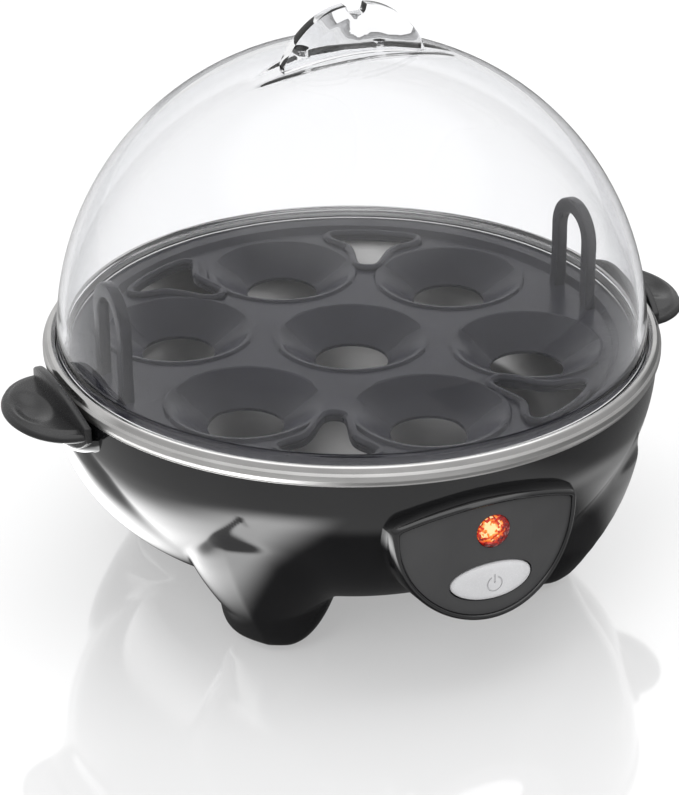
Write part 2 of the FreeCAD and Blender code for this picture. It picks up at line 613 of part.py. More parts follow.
def thermostat():
    """Snap-disc thermostat: a flanged cap against the spreader and a body with two tabs."""
    top = PLATE_TOP - PLATE_T
    cap = Part.makeCylinder(8.0, 4.0, V(0, 0, top - 4.0))
    body = Part.makeCylinder(6.6, 5.0, V(0, 0, top - 9.0))
    tabs = [block(s * 4.4 - 0.4, s * 4.4 + 0.4, -2.2, 2.2, top - 13.5, top - 9.0) for s in (-1, 1)]
    return cap.fuse([body, *tabs]).removeSplitter()


def thermostat_bracket():
    """Sprung steel strip that holds the thermostat up against the spreader."""
    top = PLATE_TOP - PLATE_T
    strip = block(-18.0, 18.0, -3.5, 3.5, top - 5.0, top - 4.0)
    feet = []
    for s in (-1, 1):
        feet.append(block(min(s * 17.0, s * 18.0), max(s * 17.0, s * 18.0), -3.5, 3.5, top - 5.0, top))
        feet.append(block(min(s * 17.0, s * 24.0), max(s * 17.0, s * 24.0), -3.5, 3.5, top - 1.0, top))
    collar = Part.makeCylinder(9.4, 1.0, V(0, 0, top - 5.0))
    strip = strip.fuse([collar, *feet]).cut(Part.makeCylinder(6.7, 5, V(0, 0, top - 7.0)))
    return strip.removeSplitter()


def thermal_fuse():
    top = PLATE_TOP - PLATE_T
    body = Part.makeCylinder(2.0, 11.0, V(-5.5, -16.0, top - 2.1), V(1, 0, 0))
    leads = [Part.makeCylinder(0.4, 4.0, V(-9.5, -16.0, top - 2.1), V(1, 0, 0)),
             Part.makeCylinder(0.4, 4.0, V(5.5, -16.0, top - 2.1), V(1, 0, 0))]
    return body.fuse(leads).removeSplitter()


def heat_shield():
    """Shallow steel dish between the heating parts and the bottom cover."""
    z = 21.0
    return revolve_section([(6, z), (34.0, z), (37.0, z + 3.0), (43.6, z + 3.0), (43.6, z + 3.8),
                            (36.7, z + 3.8), (33.7, z + 0.8), (6, z + 0.8)]).cut(
        [Part.makeCylinder(1.7, 8, V(*polar(STUD_RING_R + 1.2, a, z))) for a in (30, 150, 270)])


def plate_studs():
    """Threaded studs welded under the spreader, through spacers, to the heat shield."""
    bottom = 20.6
    return Part.makeCompound([
        Part.makeCylinder(1.6, PLATE_TOP - PLATE_T - bottom, V(*polar(STUD_RING_R + 1.2, a, bottom)))
        for a in (30, 150, 270)])


def stud_spacers():
    low = 24.8
    return Part.makeCompound([
        tube(3.0, 1.7, low, PLATE_TOP - PLATE_T, *polar(STUD_RING_R + 1.2, a)[:2]) for a in (30, 150, 270)])


def stud_nuts():
    nuts = []
    for degrees in (30, 150, 270):
        x, y, _ = polar(STUD_RING_R + 1.2, degrees)
        corners = [V(x + 3.2 * math.cos(math.radians(60 * k)), y + 3.2 * math.sin(math.radians(60 * k)), 21.4)
                   for k in range(6)]
        hexagon = Part.Face(Part.makePolygon(corners + corners[:1])).extrude(V(0, 0, 2.6))
        nuts.append(hexagon.cut(Part.makeCylinder(1.65, 6, V(x, y, 20))))
    return Part.makeCompound(nuts)


# ---------------------------------------------------------------- cord entry and leads
def terminal_block():
    """Two-way connector block inside the cord entry."""
    middle = BLOCK_Y + 4.0
    body = block(-9.0, 9.0, BLOCK_Y, BLOCK_Y + 8.0, BLOCK_Z, BLOCK_Z + 8.0)
    for x in (-POLE_X, POLE_X):
        body = body.cut(rod_y(1.5, BLOCK_Y - 1, BLOCK_Y + 9, x, POLE_Z))
        body = body.cut(Part.makeCylinder(1.7, 6, V(x, middle, POLE_Z)))
    return body


def terminal_screws():
    head_z = BLOCK_Z + 6.6
    return Part.makeCompound([aimed(screw(1.2, 1.2, 1.6, 1.2), (0, 0, -1), (x, BLOCK_Y + 4.0, head_z))
                              for x in (-POLE_X, POLE_X)])


def cord_gland():
    """Rubber grommet in the rear wall that the mains lead passes through."""
    shoulder = GLAND_SEAT_Y + 2.2
    flange = rod_y(7.4, GLAND_SEAT_Y, shoulder, 0, GLAND_Z)
    neck = rod_y(5.5, 64.0, GLAND_SEAT_Y, 0, GLAND_Z)
    nose = Part.makeCone(6.2, 5.0, GLAND_END_Y - shoulder, V(0, shoulder, GLAND_Z), V(0, 1, 0))
    gland = flange.fuse([neck, nose])
    return gland.cut(rod_y(GLAND_BORE_R, 50, 90, 0, GLAND_Z)).removeSplitter()


def lead(points, radius=LEAD_R):
    """Insulated wire along straight runs joined by tangent arcs."""
    pts = [V(*p) for p in points]
    edges = []
    here = pts[0]
    for before, corner, after in zip(pts, pts[1:], pts[2:]):
        a = (before - corner).normalize()
        b = (after - corner).normalize()
        run = min((before - corner).Length, (after - corner).Length)
        cut = 0.45 * run
        start = corner + a * cut
        end = corner + b * cut
        half = a.getAngle(b) / 2
        bow = cut * math.tan(half)
        centre = corner + (a + b).normalize() * (cut / math.cos(half))
        middle = centre + (corner - centre).normalize() * bow
        edges.append(Part.LineSegment(here, start).toShape())
        edges.append(Part.Arc(start, middle, end).toShape())
        here = end
    edges.append(Part.LineSegment(here, pts[-1]).toShape())
    path = Part.Wire(edges)
    section = Part.Wire(Part.makeCircle(radius, pts[0], pts[1] - pts[0]))
    return path.makePipeShell([section], True, False)


def internal_leads():
    """Insulated wires between the terminal block, switch, thermostat, fuse, element and lamp."""
    pole_y = BLOCK_Y
    under = 26.6
    tab_y = SWITCH_FRONT + SWITCH_LENGTH + 6.4
    tab_x = 3.4
    live = lead([(-POLE_X, pole_y, POLE_Z), (-8.0, 38.0, under), (-18.0, 24.0, under),
                 (-22.0, 2.0, under), (-16.0, -20.0, under), (-8.5, -38.0, under + 0.6),
                 (-tab_x - 1.2, -46.0, 29.6), (-tab_x, tab_y, BUTTON_Z)])
    switched = lead([(tab_x, tab_y, BUTTON_Z), (tab_x + 1.2, -46.0, 29.6), (8.5, -38.0, under + 0.6),
                     (14.0, -24.0, under), (14.0, -8.0, 25.4), (9.0, -0.5, 24.0), (5.0, 0.0, 23.9)])
    to_fuse = lead([(-5.1, 0.0, 23.9), (-9.0, -1.5, 24.3), (-12.5, -9.0, 27.0), (-15.0, -14.5, 30.6),
                    (-13.0, -16.0, 32.9), (-9.6, -16.0, 32.9)])
    pin_z = PLATE_TOP - PLATE_T - ELEMENT_TUBE_R
    pin_x, pin_y = 10.4, 29.4
    to_element = lead([(9.6, -16.0, 32.9), (13.0, -16.0, 32.9), (17.0, -12.0, 29.6),
                       (19.5, 0.0, 27.6), (16.0, 14.0, 27.6), (8.0, 24.0, 28.6),
                       (6.6, 31.2, 30.8), (pin_x - 0.6, pin_y + 0.2, pin_z)])
    neutral = lead([(-pin_x + 0.6, pin_y + 0.2, pin_z), (-6.4, 32.0, 31.4), (-1.5, 36.0, 30.0),
                    (2.5, 39.5, 27.4), (POLE_X, pole_y, POLE_Z)])
    lamp = [lead([(s * 1.3, PANEL_Y + 15.9, LAMP_Z), (s * 2.2, -62.6, 43.4), (s * 3.0, -59.6, 39.2),
                  (s * tab_x, -55.4, 36.7), (s * tab_x, -54.4, BUTTON_Z + 2.7)], 0.5) for s in (-1, 1)]
    return {"live_lead": live, "switched_lead": switched, "fuse_lead": to_fuse,
            "element_lead": to_element, "neutral_lead": neutral, "lamp_leads": Part.makeCompound(lamp)}


def build():
    nodes = {
        "lid_dome": lid_dome(),
        "lid_handle": lid_handle(),
        "egg_tray": egg_tray(),
        "heating_bowl": heating_bowl(),
        "rim_seal": rim_seal(),
        "base_shell": base_shell(),
        "bottom_cover": bottom_cover(),
        "bottom_screws": bottom_screws(),
        "side_handle_left": side_handle(-1),
        "side_handle_right": side_handle(1),
        "handle_screws": handle_screws(),
        "panel_housing": panel_housing(),
        "panel_face": panel_face(),
        "panel_screws": panel_screws(),
        "power_button": power_button(),
        "switch_plunger": switch_plunger(),
        "button_spring": button_spring(),
        "switch_body": switch_body(),
        "switch_terminals": switch_terminals(),
        "indicator_lens": indicator_lens(),
        "lamp_holder": lamp_holder(),
        "indicator_lamp": indicator_lamp(),
        "heater_plate": heater_plate(),
        "heating_element": heating_element(),
        "element_insulators": element_insulators(),
        "element_pins": element_pins(),
        "thermostat": thermostat(),
        "thermostat_bracket": thermostat_bracket(),
        "thermal_fuse": thermal_fuse(),
        "heat_shield": heat_shield(),
        "plate_studs": plate_studs(),
        "stud_spacers": stud_spacers(),
        "stud_nuts": stud_nuts(),
        "terminal_block": terminal_block(),
        "terminal_screws": terminal_screws(),
        "cord_gland": cord_gland(),
    }
    nodes.update(internal_leads())
    for name, degrees in LEGS.items():
        nodes["foot_pad_" + name] = foot_pad(degrees)
    return nodes


os.makedirs("parts", exist_ok=True)
for name, shape in build().items():
    shape.exportStep("parts/" + name + ".step")
    box = shape.BoundBox
    print("%-22s valid %s solids %d volume %9.1f  x %7.1f %6.1f  y %7.1f %6.1f  z %6.1f %6.1f" % (
        name, shape.isValid(), len(shape.Solids), shape.Volume,
        box.XMin, box.XMax, box.YMin, box.YMax, box.ZMin, box.ZMax))
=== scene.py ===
import json
import math
import bmesh
import bpy
from mathutils import Matrix, Vector


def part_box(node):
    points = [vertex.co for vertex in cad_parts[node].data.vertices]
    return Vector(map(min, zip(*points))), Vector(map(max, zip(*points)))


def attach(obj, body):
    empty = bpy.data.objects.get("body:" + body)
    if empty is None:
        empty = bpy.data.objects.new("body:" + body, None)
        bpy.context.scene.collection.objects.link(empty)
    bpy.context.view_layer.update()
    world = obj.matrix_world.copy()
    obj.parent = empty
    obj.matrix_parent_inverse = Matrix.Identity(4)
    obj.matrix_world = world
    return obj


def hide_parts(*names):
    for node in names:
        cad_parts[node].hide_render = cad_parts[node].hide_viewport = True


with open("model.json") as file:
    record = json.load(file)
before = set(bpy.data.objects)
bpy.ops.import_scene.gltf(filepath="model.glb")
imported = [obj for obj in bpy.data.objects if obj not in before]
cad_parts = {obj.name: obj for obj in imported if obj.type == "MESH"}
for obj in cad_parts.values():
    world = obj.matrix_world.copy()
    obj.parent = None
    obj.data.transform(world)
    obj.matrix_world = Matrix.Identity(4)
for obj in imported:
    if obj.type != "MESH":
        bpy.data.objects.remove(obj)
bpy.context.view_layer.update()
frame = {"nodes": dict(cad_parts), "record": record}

# Sizes below are millimetres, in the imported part's frame: Z up, the control panel faces -Y.
MM = 0.001
ROUND = 2 * math.pi


def box_mm(node):
    """Lowest and highest corner of a CAD node, in millimetres."""
    low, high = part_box(node)
    return low / MM, high / MM


# ---------------------------------------------------------------- sizes taken from the frame
dome_low, dome_high = box_mm("lid_dome")
DOME_R = dome_high.x
DOME_Z = dome_high.z - DOME_R
DOME_FOOT = dome_low.z
DOME_WALL = 2.0
fin_low, fin_high = box_mm("lid_handle")
FIN_HALF = fin_high.x
FIN_TOP = fin_high.z + 0.4
FIN_WALL = 3.0
bowl_low, bowl_high = box_mm("heating_bowl")
RIM_R = bowl_high.x
RIM_TOP = bowl_high.z
BOWL_FLOOR = bowl_low.z
tray_low, tray_high = box_mm("egg_tray")
TRAY_EDGE_R = tray_high.x
LOOP_TOP = tray_high.z
shell_low, shell_high = box_mm("base_shell")
SHELL_TOP = shell_high.z
FOOT_Z = shell_low.z
LUG_R = shell_high.x
BEZEL_Y = box_mm("panel_housing")[0].y
PANEL_Y = box_mm("panel_face")[0].y
button_low, button_high = box_mm("power_button")
CROWN_Y = button_low.y
BUTTON_Z = (button_low.z + button_high.z) / 2
lens_low, lens_high = box_mm("indicator_lens")
LAMP_Z = (lens_low.z + lens_high.z) / 2
handle_low, handle_high = box_mm("side_handle_right")
gland_low, gland_high = box_mm("cord_gland")
GLAND_Z = (gland_low.z + gland_high.z) / 2

# ---------------------------------------------------------------- sizes of the finer shapes
RIM_EDGE_Z = 60.0       # lower lip of the steel band
LEDGE_Z = 61.2          # ledge that carries the tray
RIM_BORE_R = 76.6
TRAY_Z = 61.0           # top of the tray's plate
SEAT_RING_R = 45.5
SEAT_R = 19.0
SEAT_HOLE_R = 10.5
SEAT_DEPTH = 7.0
LOOP_X = 65.1
LOOP_HALF = 10.0
BOWL_ARC_X = 26.45      # the base bowl's side is an arc of this radius and centre
BOWL_ARC_R = 52.35
BOWL_FOOT_Z = 13.0
BOWL_FOOT_R = 49.5
LEG_INNER_R = 47.4
LEG_TOP_Z = 47.3
LEG_HALF = 16.5
LEG_LOBE_HALF = 18.5
LEG_WIDE_Z = 22.0       # height of a leg's widest place
LEG_CREST_R = 77.2      # keel's radius at the leg's head
LEG_TAPER = 18.6        # how far the keel draws in towards the foot
KEEL_SHIFT = 5.1        # how far the keel stands off the leg's middle
BULGE_WIDE_Z = 46.0     # the swelling under a side handle narrows above this
BULGE_HALF_DEG = 14.0
BULGE_DEPTH = 2.6
LUG_ROOT_R = 76.5
LUG_BACK_R = 75.8
SHIELD_TOP_Z = 54.4
SHIELD_WIDE_Z = 46.0
SHIELD_LOW_Z = 21.1
SHIELD_HALF = 24.8
PANEL_CURVE_R = 68.0
BUTTON_A = 10.9
BUTTON_B = 4.9
LAMP_R = 4.3
SCREW_X = 18.6
SCREW_Y = -69.7
SCREW_Z = 47.4


# ---------------------------------------------------------------- mesh helpers
def piece_from(name, verts, faces, smooth_below=35.0):
    """Object from millimetre points, with doubled points merged and faces turned outwards."""
    mesh = bpy.data.meshes.new(name)
    mesh.from_pydata([Vector(v) * MM for v in verts], [], faces)
    tidy_mesh(mesh, smooth_below)
    piece = bpy.data.objects.new(name, mesh)
    bpy.context.scene.collection.objects.link(piece)
    return piece


def tidy_mesh(mesh, smooth_below):
    """Merges doubled points, drops loose edges and points, and marks the sharp edges."""
    work = bmesh.new()
    work.from_mesh(mesh)
    bmesh.ops.remove_doubles(work, verts=work.verts, dist=0.002 * MM)
    bmesh.ops.dissolve_degenerate(work, edges=work.edges, dist=0.001 * MM)
    bmesh.ops.delete(work, geom=[e for e in work.edges if not e.link_faces], context="EDGES")
    bmesh.ops.delete(work, geom=[v for v in work.verts if not v.link_faces], context="VERTS")
    bmesh.ops.recalc_face_normals(work, faces=work.faces)
    work.to_mesh(mesh)
    work.free()
    mesh.shade_smooth()
    mesh.set_sharp_from_angle(angle=math.radians(smooth_below))


def soften(corners, steps=6):
    """Closed outline of (x, y, radius) corners, each corner eased over its radius."""
    out = []
    for i, (x, y, radius) in enumerate(corners):
        here = Vector((x, y))
        back = Vector(corners[i - 1][:2]) - here
        ahead = Vector(corners[(i + 1) % len(corners)][:2]) - here
        if radius <= 0:
            out.append((x, y))
            continue
        cut = radius / math.tan(back.angle(ahead) / 2)
        start = here + back.normalized() * min(cut, back.length * 0.49)
        end = here + ahead.normalized() * min(cut, ahead.length * 0.49)
        for k in range(steps + 1):
            t = k / steps
            point = start * (1 - t) ** 2 + here * 2 * t * (1 - t) + end * t ** 2
            out.append((point.x, point.y))
    return out


def ring_faces(columns, count, closed=True):
    """Quads between columns of count points. Each column is a closed loop."""
    faces = []
    for k in range(columns if closed else columns - 1):
        here = k * count
        there = (k + 1) % columns * count
        for i in range(count):
            j = (i + 1) % count
            faces.append((here + i, there + i, there + j, here + j))
    return faces


def lathe(name, outline, turns=224, smooth_below=35.0):
    """Solid of revolution about Z from a closed outline of (r, z)."""
    verts = []
    for k in range(turns):
        a = ROUND * k / turns
        verts += [(r * math.cos(a), r * math.sin(a), z) for r, z in outline]
    return piece_from(name, verts, ring_faces(turns, len(outline)), smooth_below)


def slab(name, outline, at, ends):
    """Solid between two copies of a closed outline; at(point, end) places each corner."""
    count = len(outline)
    verts = [at(point, end) for end in ends for point in outline]
    faces = [tuple(range(count)), tuple(range(2 * count - 1, count - 1, -1))]
    faces += [(i, (i + 1) % count, (i + 1) % count + count, i + count) for i in range(count)]
    return piece_from(name, verts, faces)


def prism(name, outline, y0, y1):
    """Solid along Y from a closed outline of (x, z)."""
    return slab(name, outline, lambda point, y: (point[0], y, point[1]), (y0, y1))


def upright(name, outline, z0, z1):
    """Solid along Z from a closed outline of (x, y)."""
    return slab(name, outline, lambda point, z: (point[0], point[1], z), (z0, z1))


def ease_edges(piece, width, segments=3, angle=30.0):
    """Rounds the piece's sharp edges."""
    bevel = piece.modifiers.new("eased edges", "BEVEL")
    bevel.width = width * MM
    bevel.segments = segments
    bevel.limit_method = "ANGLE"
    bevel.angle_limit = math.radians(angle)
    bevel.harden_normals = False
    apply_modifiers(piece)


def apply_modifiers(piece, smooth_below=35.0):
    graph = bpy.context.evaluated_depsgraph_get()
    mesh = bpy.data.meshes.new_from_object(piece.evaluated_get(graph))
    piece.modifiers.clear()
    old = piece.data
    piece.data = mesh
    mesh.name = piece.name
    bpy.data.meshes.remove(old)
    tidy_mesh(mesh, smooth_below)


def combine(piece, others, how="DIFFERENCE"):
    """Cuts the other solids from the piece, or keeps only what it shares with them."""
    for other in others:
        step = piece.modifiers.new("shape", "BOOLEAN")
        step.operation = how
        step.solver = "EXACT"
        step.object = other
    apply_modifiers(piece)
    for other in others:
        bpy.data.objects.remove(other)


def join(piece, others):
    """Puts the other pieces' meshes into this one, as separate closed bodies."""
    work = bmesh.new()
    work.from_mesh(piece.data)
    for other in others:
        other.data.transform(other.matrix_world)
        work.from_mesh(other.data)
        bpy.data.objects.remove(other)
    work.to_mesh(piece.data)
    work.free()


def place(piece, x=0.0, y=0.0, z=0.0, turn=0.0):
    """Moves a finished mesh: shifted in millimetres, then turned about Z in degrees."""
    shift = Matrix.Translation(Vector((x, y, z)) * MM)
    piece.data.transform(Matrix.Rotation(math.radians(turn), 4, "Z") @ shift)
    return piece


def along_y(piece, x=0.0, y=0.0, z=0.0):
    """Turns a mesh made along Z to point along -Y, then moves it."""
    piece.data.transform(Matrix.Translation(Vector((x, y, z)) * MM) @ Matrix.Rotation(math.pi / 2, 4, "X"))
    return piece


def mix(a, b, t):
    return a + (b - a) * t


def clamp(value, low=0.0, high=1.0):
    return max(low, min(high, value))


def ease(t):
    t = clamp(t)
    return t * t * (3 - 2 * t)


def smooth_max(a, b, soft):
    """The larger of two numbers, blended where they are within soft of each other."""
    t = clamp(0.5 + 0.5 * (a - b) / soft)
    return mix(b, a, t) + soft * t * (1 - t)


# ---------------------------------------------------------------- clear lid
DISH_HALF = (28.5, 6.0)
DISH_DEPTH = 1.2


def dish(x, y):
    """Depth of the shallow oval dish in the dome's crown."""
    reach = math.hypot(x / DISH_HALF[0], y / DISH_HALF[1])
    return DISH_DEPTH * ease((1.0 - reach) / 0.45)


def dome():
    """Blown hemisphere with a thickened foot, the oval dish and two steam vents."""
    crown, low = 26.0, 90.0
    angles = [crown * k / 34 for k in range(35)]
    angles += [mix(crown, low, k / 30) for k in range(1, 31)]
    inner_r = DOME_R - DOME_WALL
    outline = []
    for degrees in angles:
        a = math.radians(degrees)
        outline.append((DOME_R * math.sin(a), DOME_Z + DOME_R * math.cos(a)))
    foot = DOME_FOOT
    outline += [(DOME_R, foot + 0.5), (DOME_R - 0.15, foot + 0.15), (DOME_R - 0.5, foot)]
    outline += [(inner_r - 0.7, foot), (inner_r - 1.1, foot + 0.2), (inner_r - 1.2, foot + 0.7)]
    outline += [(inner_r - 1.2, foot + 2.2), (inner_r - 1.0, foot + 2.9), (inner_r - 0.1, foot + 3.6)]
    for degrees in reversed(angles[:-3]):
        a = math.radians(degrees)
        outline.append((inner_r * math.sin(a), DOME_Z + inner_r * math.cos(a)))
    piece = lathe("clear_dome", outline, turns=256)
    for v in piece.data.vertices:
        if v.co.z > (DOME_Z + DOME_R * 0.8) * MM:
            v.co.z -= dish(v.co.x / MM, v.co.y / MM) * MM
    vent_r, vent_x, vent_y = 1.6, 10.0, 7.5
    vents = [place(lathe("vent", [(0, 0), (vent_r, 0), (vent_r, 30), (0, 30)], 32),
                   side * vent_x, vent_y, DOME_Z + 60) for side in (-1, 1)]
    combine(piece, vents)
    return piece


def fin():
    """Clear half-moon handle: an upright arched plate with a notch in its crest."""
    columns = 96
    top, low = [], []
    foot_r = DOME_R + 0.05
    end_z = DOME_Z + math.sqrt(foot_r ** 2 - FIN_HALF ** 2)
    rise = FIN_TOP - end_z
    for k in range(columns + 1):
        x = mix(-FIN_HALF, FIN_HALF, k / columns)
        bow = clamp(1 - abs(x / FIN_HALF) ** 2.3)
        top.append((x, end_z + 0.8 + (rise - 0.8) * bow ** 0.8))
        low.append((x, DOME_Z + math.sqrt(foot_r ** 2 - x * x) - dish(x, 0)))
    outline = low + list(reversed(top))
    piece = prism("clear_fin", outline, -FIN_WALL / 2, FIN_WALL / 2)
    notch = prism("notch", soften([(-1.4, FIN_TOP - 2.5, 1.5), (2.7, FIN_TOP - 2.5, 1.5),
                                   (3.7, FIN_TOP + 2, 0), (-3.2, FIN_TOP + 2, 0)], 10), -4, 4)
    combine(piece, [notch])
    ease_edges(piece, 0.45, 3, 50)
    return piece


# ---------------------------------------------------------------- egg tray
def seat_places():
    """Centres of the seven egg seats: one in the middle, six round it."""
    ring = [(SEAT_RING_R * math.cos(a), SEAT_RING_R * math.sin(a))
            for a in (ROUND * k / 6 - math.pi / 2 for k in range(6))]
    return [(0.0, 0.0)] + ring


def bell(grow=0.0):
    """Outline in plan of a steam opening: narrow inside, flared and rounded outside."""
    right = [(44.0 - grow, 0.0), (44.6 - grow * 0.8, 1.8 + grow * 0.7), (46.6, 2.9 + grow),
             (54.0, 4.6 + grow), (57.6 - grow * 0.3, 6.6 + grow), (60.2 - grow * 0.6, 10.2 + grow * 0.7),
             (62.4, 11.9 + grow), (64.4 + grow * 0.7, 10.8 + grow * 0.6), (65.4 + grow, 5.4),
             (65.7 + grow, 0.0)]
    left = [(x, -y) for x, y in reversed(right[1:-1])]
    return right + left


def smooth_loop(points, per_edge=6):
    """Closed Catmull-Rom curve through the points."""
    out = []
    count = len(points)
    for i in range(count):
        a, b, c, d = (Vector(points[(i + k - 1) % count]) for k in range(4))
        for step in range(per_edge):
            t = step / per_edge
            out.append(0.5 * (2 * b + (c - a) * t + (2 * a - 5 * b + 4 * c - d) * t * t
                              + (3 * b - a - 3 * c + d) * t ** 3))
    return out


def swept_ring(name, path, radius, sides=10, squash=1.0):
    """Closed round bead along a loop of 3-D points."""
    count = len(path)
    verts = []
    for i, point in enumerate(path):
        along = (path[(i + 1) % count] - path[i - 1]).normalized()
        out = along.cross(Vector((0, 0, 1))).normalized()
        up = out.cross(along)
        for k in range(sides):
            a = ROUND * k / sides
            verts.append(point + out * radius * math.cos(a) + up * radius * squash * math.sin(a))
    return piece_from(name, verts, ring_faces(count, sides), 80)


def tray_plate():
    under = TRAY_Z - 1.6
    rest = LEDGE_Z + 0.1
    flange = LEDGE_Z + 1.4
    return lathe("tray", soften([
        (0, under, 0), (69.6, under, 0.6), (70.0, rest, 0.5), (TRAY_EDGE_R, rest, 0.3),
        (TRAY_EDGE_R, flange, 0.5), (69.0, flange, 0.7), (67.4, TRAY_Z, 0.8), (0, TRAY_Z, 0)]))


def seat_cup(x, y):
    """Pressed conical cup with a rounded lip round its mouth."""
    low = TRAY_Z - SEAT_DEPTH
    lip = TRAY_Z + 0.7
    return place(lathe("cup", soften([
        (SEAT_HOLE_R - 1.0, low, 0), (SEAT_HOLE_R + 1.4, low, 1.0), (SEAT_R + 1.2, TRAY_Z - 1.4, 1.0),
        (SEAT_R + 1.7, TRAY_Z - 0.3, 0.5), (SEAT_R + 0.9, lip, 0.7), (SEAT_R - 0.2, lip - 0.2, 0.8),
        (SEAT_HOLE_R - 1.0, low + 0.8, 0)]), 96), x, y)


def seat_void(x, y):
    low = TRAY_Z - SEAT_DEPTH
    return place(lathe("void", soften([
        (0, low - 2, 0), (SEAT_HOLE_R, low - 2, 0), (SEAT_HOLE_R, low + 1.0, 0.8),
        (SEAT_R - 0.1, TRAY_Z + 0.4, 0.6), (SEAT_R + 0.2, TRAY_Z + 2, 0), (0, TRAY_Z + 2, 0)]), 96), x, y)


def lifting_loop(side):
    """Arch of rounded strap standing on the tray, with small feet where it meets the plate."""
    shoulder = LOOP_TOP - LOOP_HALF
    mid_half = LOOP_HALF - 2.0
    path = [Vector((side * LOOP_X, -mid_half - 0.8, TRAY_Z - 1.2)),
            Vector((side * LOOP_X, -mid_half, TRAY_Z + 3))]
    path += [Vector((side * LOOP_X, -mid_half, mix(TRAY_Z + 3, shoulder, k / 6))) for k in range(1, 7)]
    for k in range(1, 24):
        a = math.pi * k / 24
        path.append(Vector((side * LOOP_X, -mid_half * math.cos(a), shoulder + mid_half * math.sin(a))))
    path += [Vector((p.x, -p.y, p.z)) for p in reversed(path[:8])]
    section = soften([(-2.0, -1.5, 0.7), (2.0, -1.5, 0.7), (2.0, 1.5, 0.7), (-2.0, 1.5, 0.7)], 4)
    verts = []
    for i, point in enumerate(path):
        before = path[max(i - 1, 0)]
        after = path[min(i + 1, len(path) - 1)]
        across = (after - before).normalized().cross(Vector((1, 0, 0)))
        for u, v in section:
            verts.append(point + across * u + Vector((v, 0, 0)))
    count = len(section)
    faces = ring_faces(len(path), count, closed=False)
    faces += [tuple(range(count)), tuple(reversed(range(len(verts) - count, len(verts))))]
    return piece_from("loop", verts, faces, 60)


def tray():
    """Egg tray with cupped seats, lipped steam openings and lifting loops."""
    piece = tray_plate()
    seats = seat_places()
    cuts = [seat_void(x, y) for x, y in seats]
    beads = []
    for degrees in (-120, -60, 60, 120):
        plan = smooth_loop(bell())
        cuts.append(place(upright("steam", plan, TRAY_Z - 10, TRAY_Z + 4), turn=degrees))
        lip = [Vector((p.x, p.y, TRAY_Z + 0.35)) for p in smooth_loop(bell(0.9))]
        beads.append(place(swept_ring("lip", lip, 1.15, 12, 0.9), turn=degrees))
    combine(piece, cuts)
    join(piece, [seat_cup(x, y) for x, y in seats] + beads + [lifting_loop(s) for s in (-1, 1)])
    piece.name = "egg_tray_moulding"
    return piece


# ---------------------------------------------------------------- steel bowl
def steel_bowl():
    """Pressed bowl: dished floor, ledge for the tray, rolled bead and brushed outer band."""
    wall = 1.0
    top = RIM_TOP
    edge_r = RIM_R - 0.7
    floor = BOWL_FLOOR + wall
    return lathe("steel_water_bowl", soften([
        (0, floor, 0), (50.0, floor, 6.0), (61.0, floor + 5.6, 4.0), (71.2, LEDGE_Z - 1.6, 1.0),
        (72.6, LEDGE_Z, 0.6), (RIM_BORE_R, LEDGE_Z, 0.5), (RIM_BORE_R, top - 0.9, 0.9),
        (RIM_BORE_R + 0.9, top, 0.9), (RIM_R - 1.3, top, 1.0), (RIM_R - 0.55, top - 1.5, 0.7),
        (RIM_R, top - 2.2, 0.4), (RIM_R, RIM_EDGE_Z + 1.6, 0.8), (edge_r + 0.25, RIM_EDGE_Z + 0.5, 0.3),
        (edge_r + 0.25, RIM_EDGE_Z, 0.25), (edge_r - 0.5, RIM_EDGE_Z, 0.25),
        (RIM_R - wall, RIM_EDGE_Z + 1.8, 0.4), (RIM_R - wall, top - 2.2, 0.4),
        (RIM_R - 1.9, top - 1.2, 0.3), (RIM_BORE_R + wall, top - 1.5, 0.3),
        (RIM_BORE_R + wall, LEDGE_Z - wall, 0.3), (72.6, LEDGE_Z - wall, 0.3), (71.0, LEDGE_Z - 2.9, 0.5),
        (61.4, floor + 4.6, 3.0), (50.0, BOWL_FLOOR, 5.0), (0, BOWL_FLOOR, 0)], 7), 288, 50)


# ---------------------------------------------------------------- base shell
def bowl_radius(z):
    """Outer radius of the round base bowl at a height."""
    return BOWL_ARC_X + math.sqrt(max(0.0, BOWL_ARC_R ** 2 - (z - SHELL_TOP) ** 2))


def leg_ridge(z):
    """Radius of a leg's keel at a height."""
    return LEG_CREST_R - LEG_TAPER * (1 - z / LEG_TOP_Z) ** 2


def leg_half(z):
    """Half width of a leg's lobe at a height: an arch above its widest place."""
    if z < LEG_WIDE_Z:
        return LEG_LOBE_HALF
    return LEG_LOBE_HALF * max(0.0, 1 - ((z - LEG_WIDE_Z) / (LEG_TOP_Z - LEG_WIDE_Z)) ** 2)


def leg_floor(across):
    """Height of the shell's lower edge at a distance from a leg's middle, fuller on the handle's side."""
    toe, half, power = (4.2, LEG_HALF, 1.75) if across > 0 else (7.5, LEG_HALF + 4.0, 2.2)
    s = clamp((abs(across) - toe) / (half - toe))
    return FOOT_Z + (BOWL_FOOT_Z - FOOT_Z) * s ** power


def leg_radius(angle, z):
    """Outer radius of a leg's lobe at an angle from its middle, with a keel off its middle."""
    head_depth = 10.0    # the keel sinks into the bowl over this height
    fuller = 4.5         # extra half width low down on the handle's side
    half = leg_half(z)
    if half <= 0.05:
        return 0.0
    keel = min(KEEL_SHIFT * clamp((z - 7.0) / 34.0), 0.55 * half)
    base = bowl_radius(z) if z > BOWL_FOOT_Z else BOWL_FOOT_R
    across = leg_ridge(z) * angle
    ridge = mix(base, leg_ridge(z), ease((LEG_TOP_Z - z) / head_depth))
    fall = ridge - base + 0.8
    if across < -keel:
        u = -(across + keel) / max(half + fuller * ease((38.0 - z) / 12.0) - keel, 0.5)
        return ridge - fall * (0.24 * u + 0.76 * u ** 3)
    u = (across + keel) / max(half + keel, 0.5)
    return ridge - fall * (0.32 * u + 0.68 * u * u)


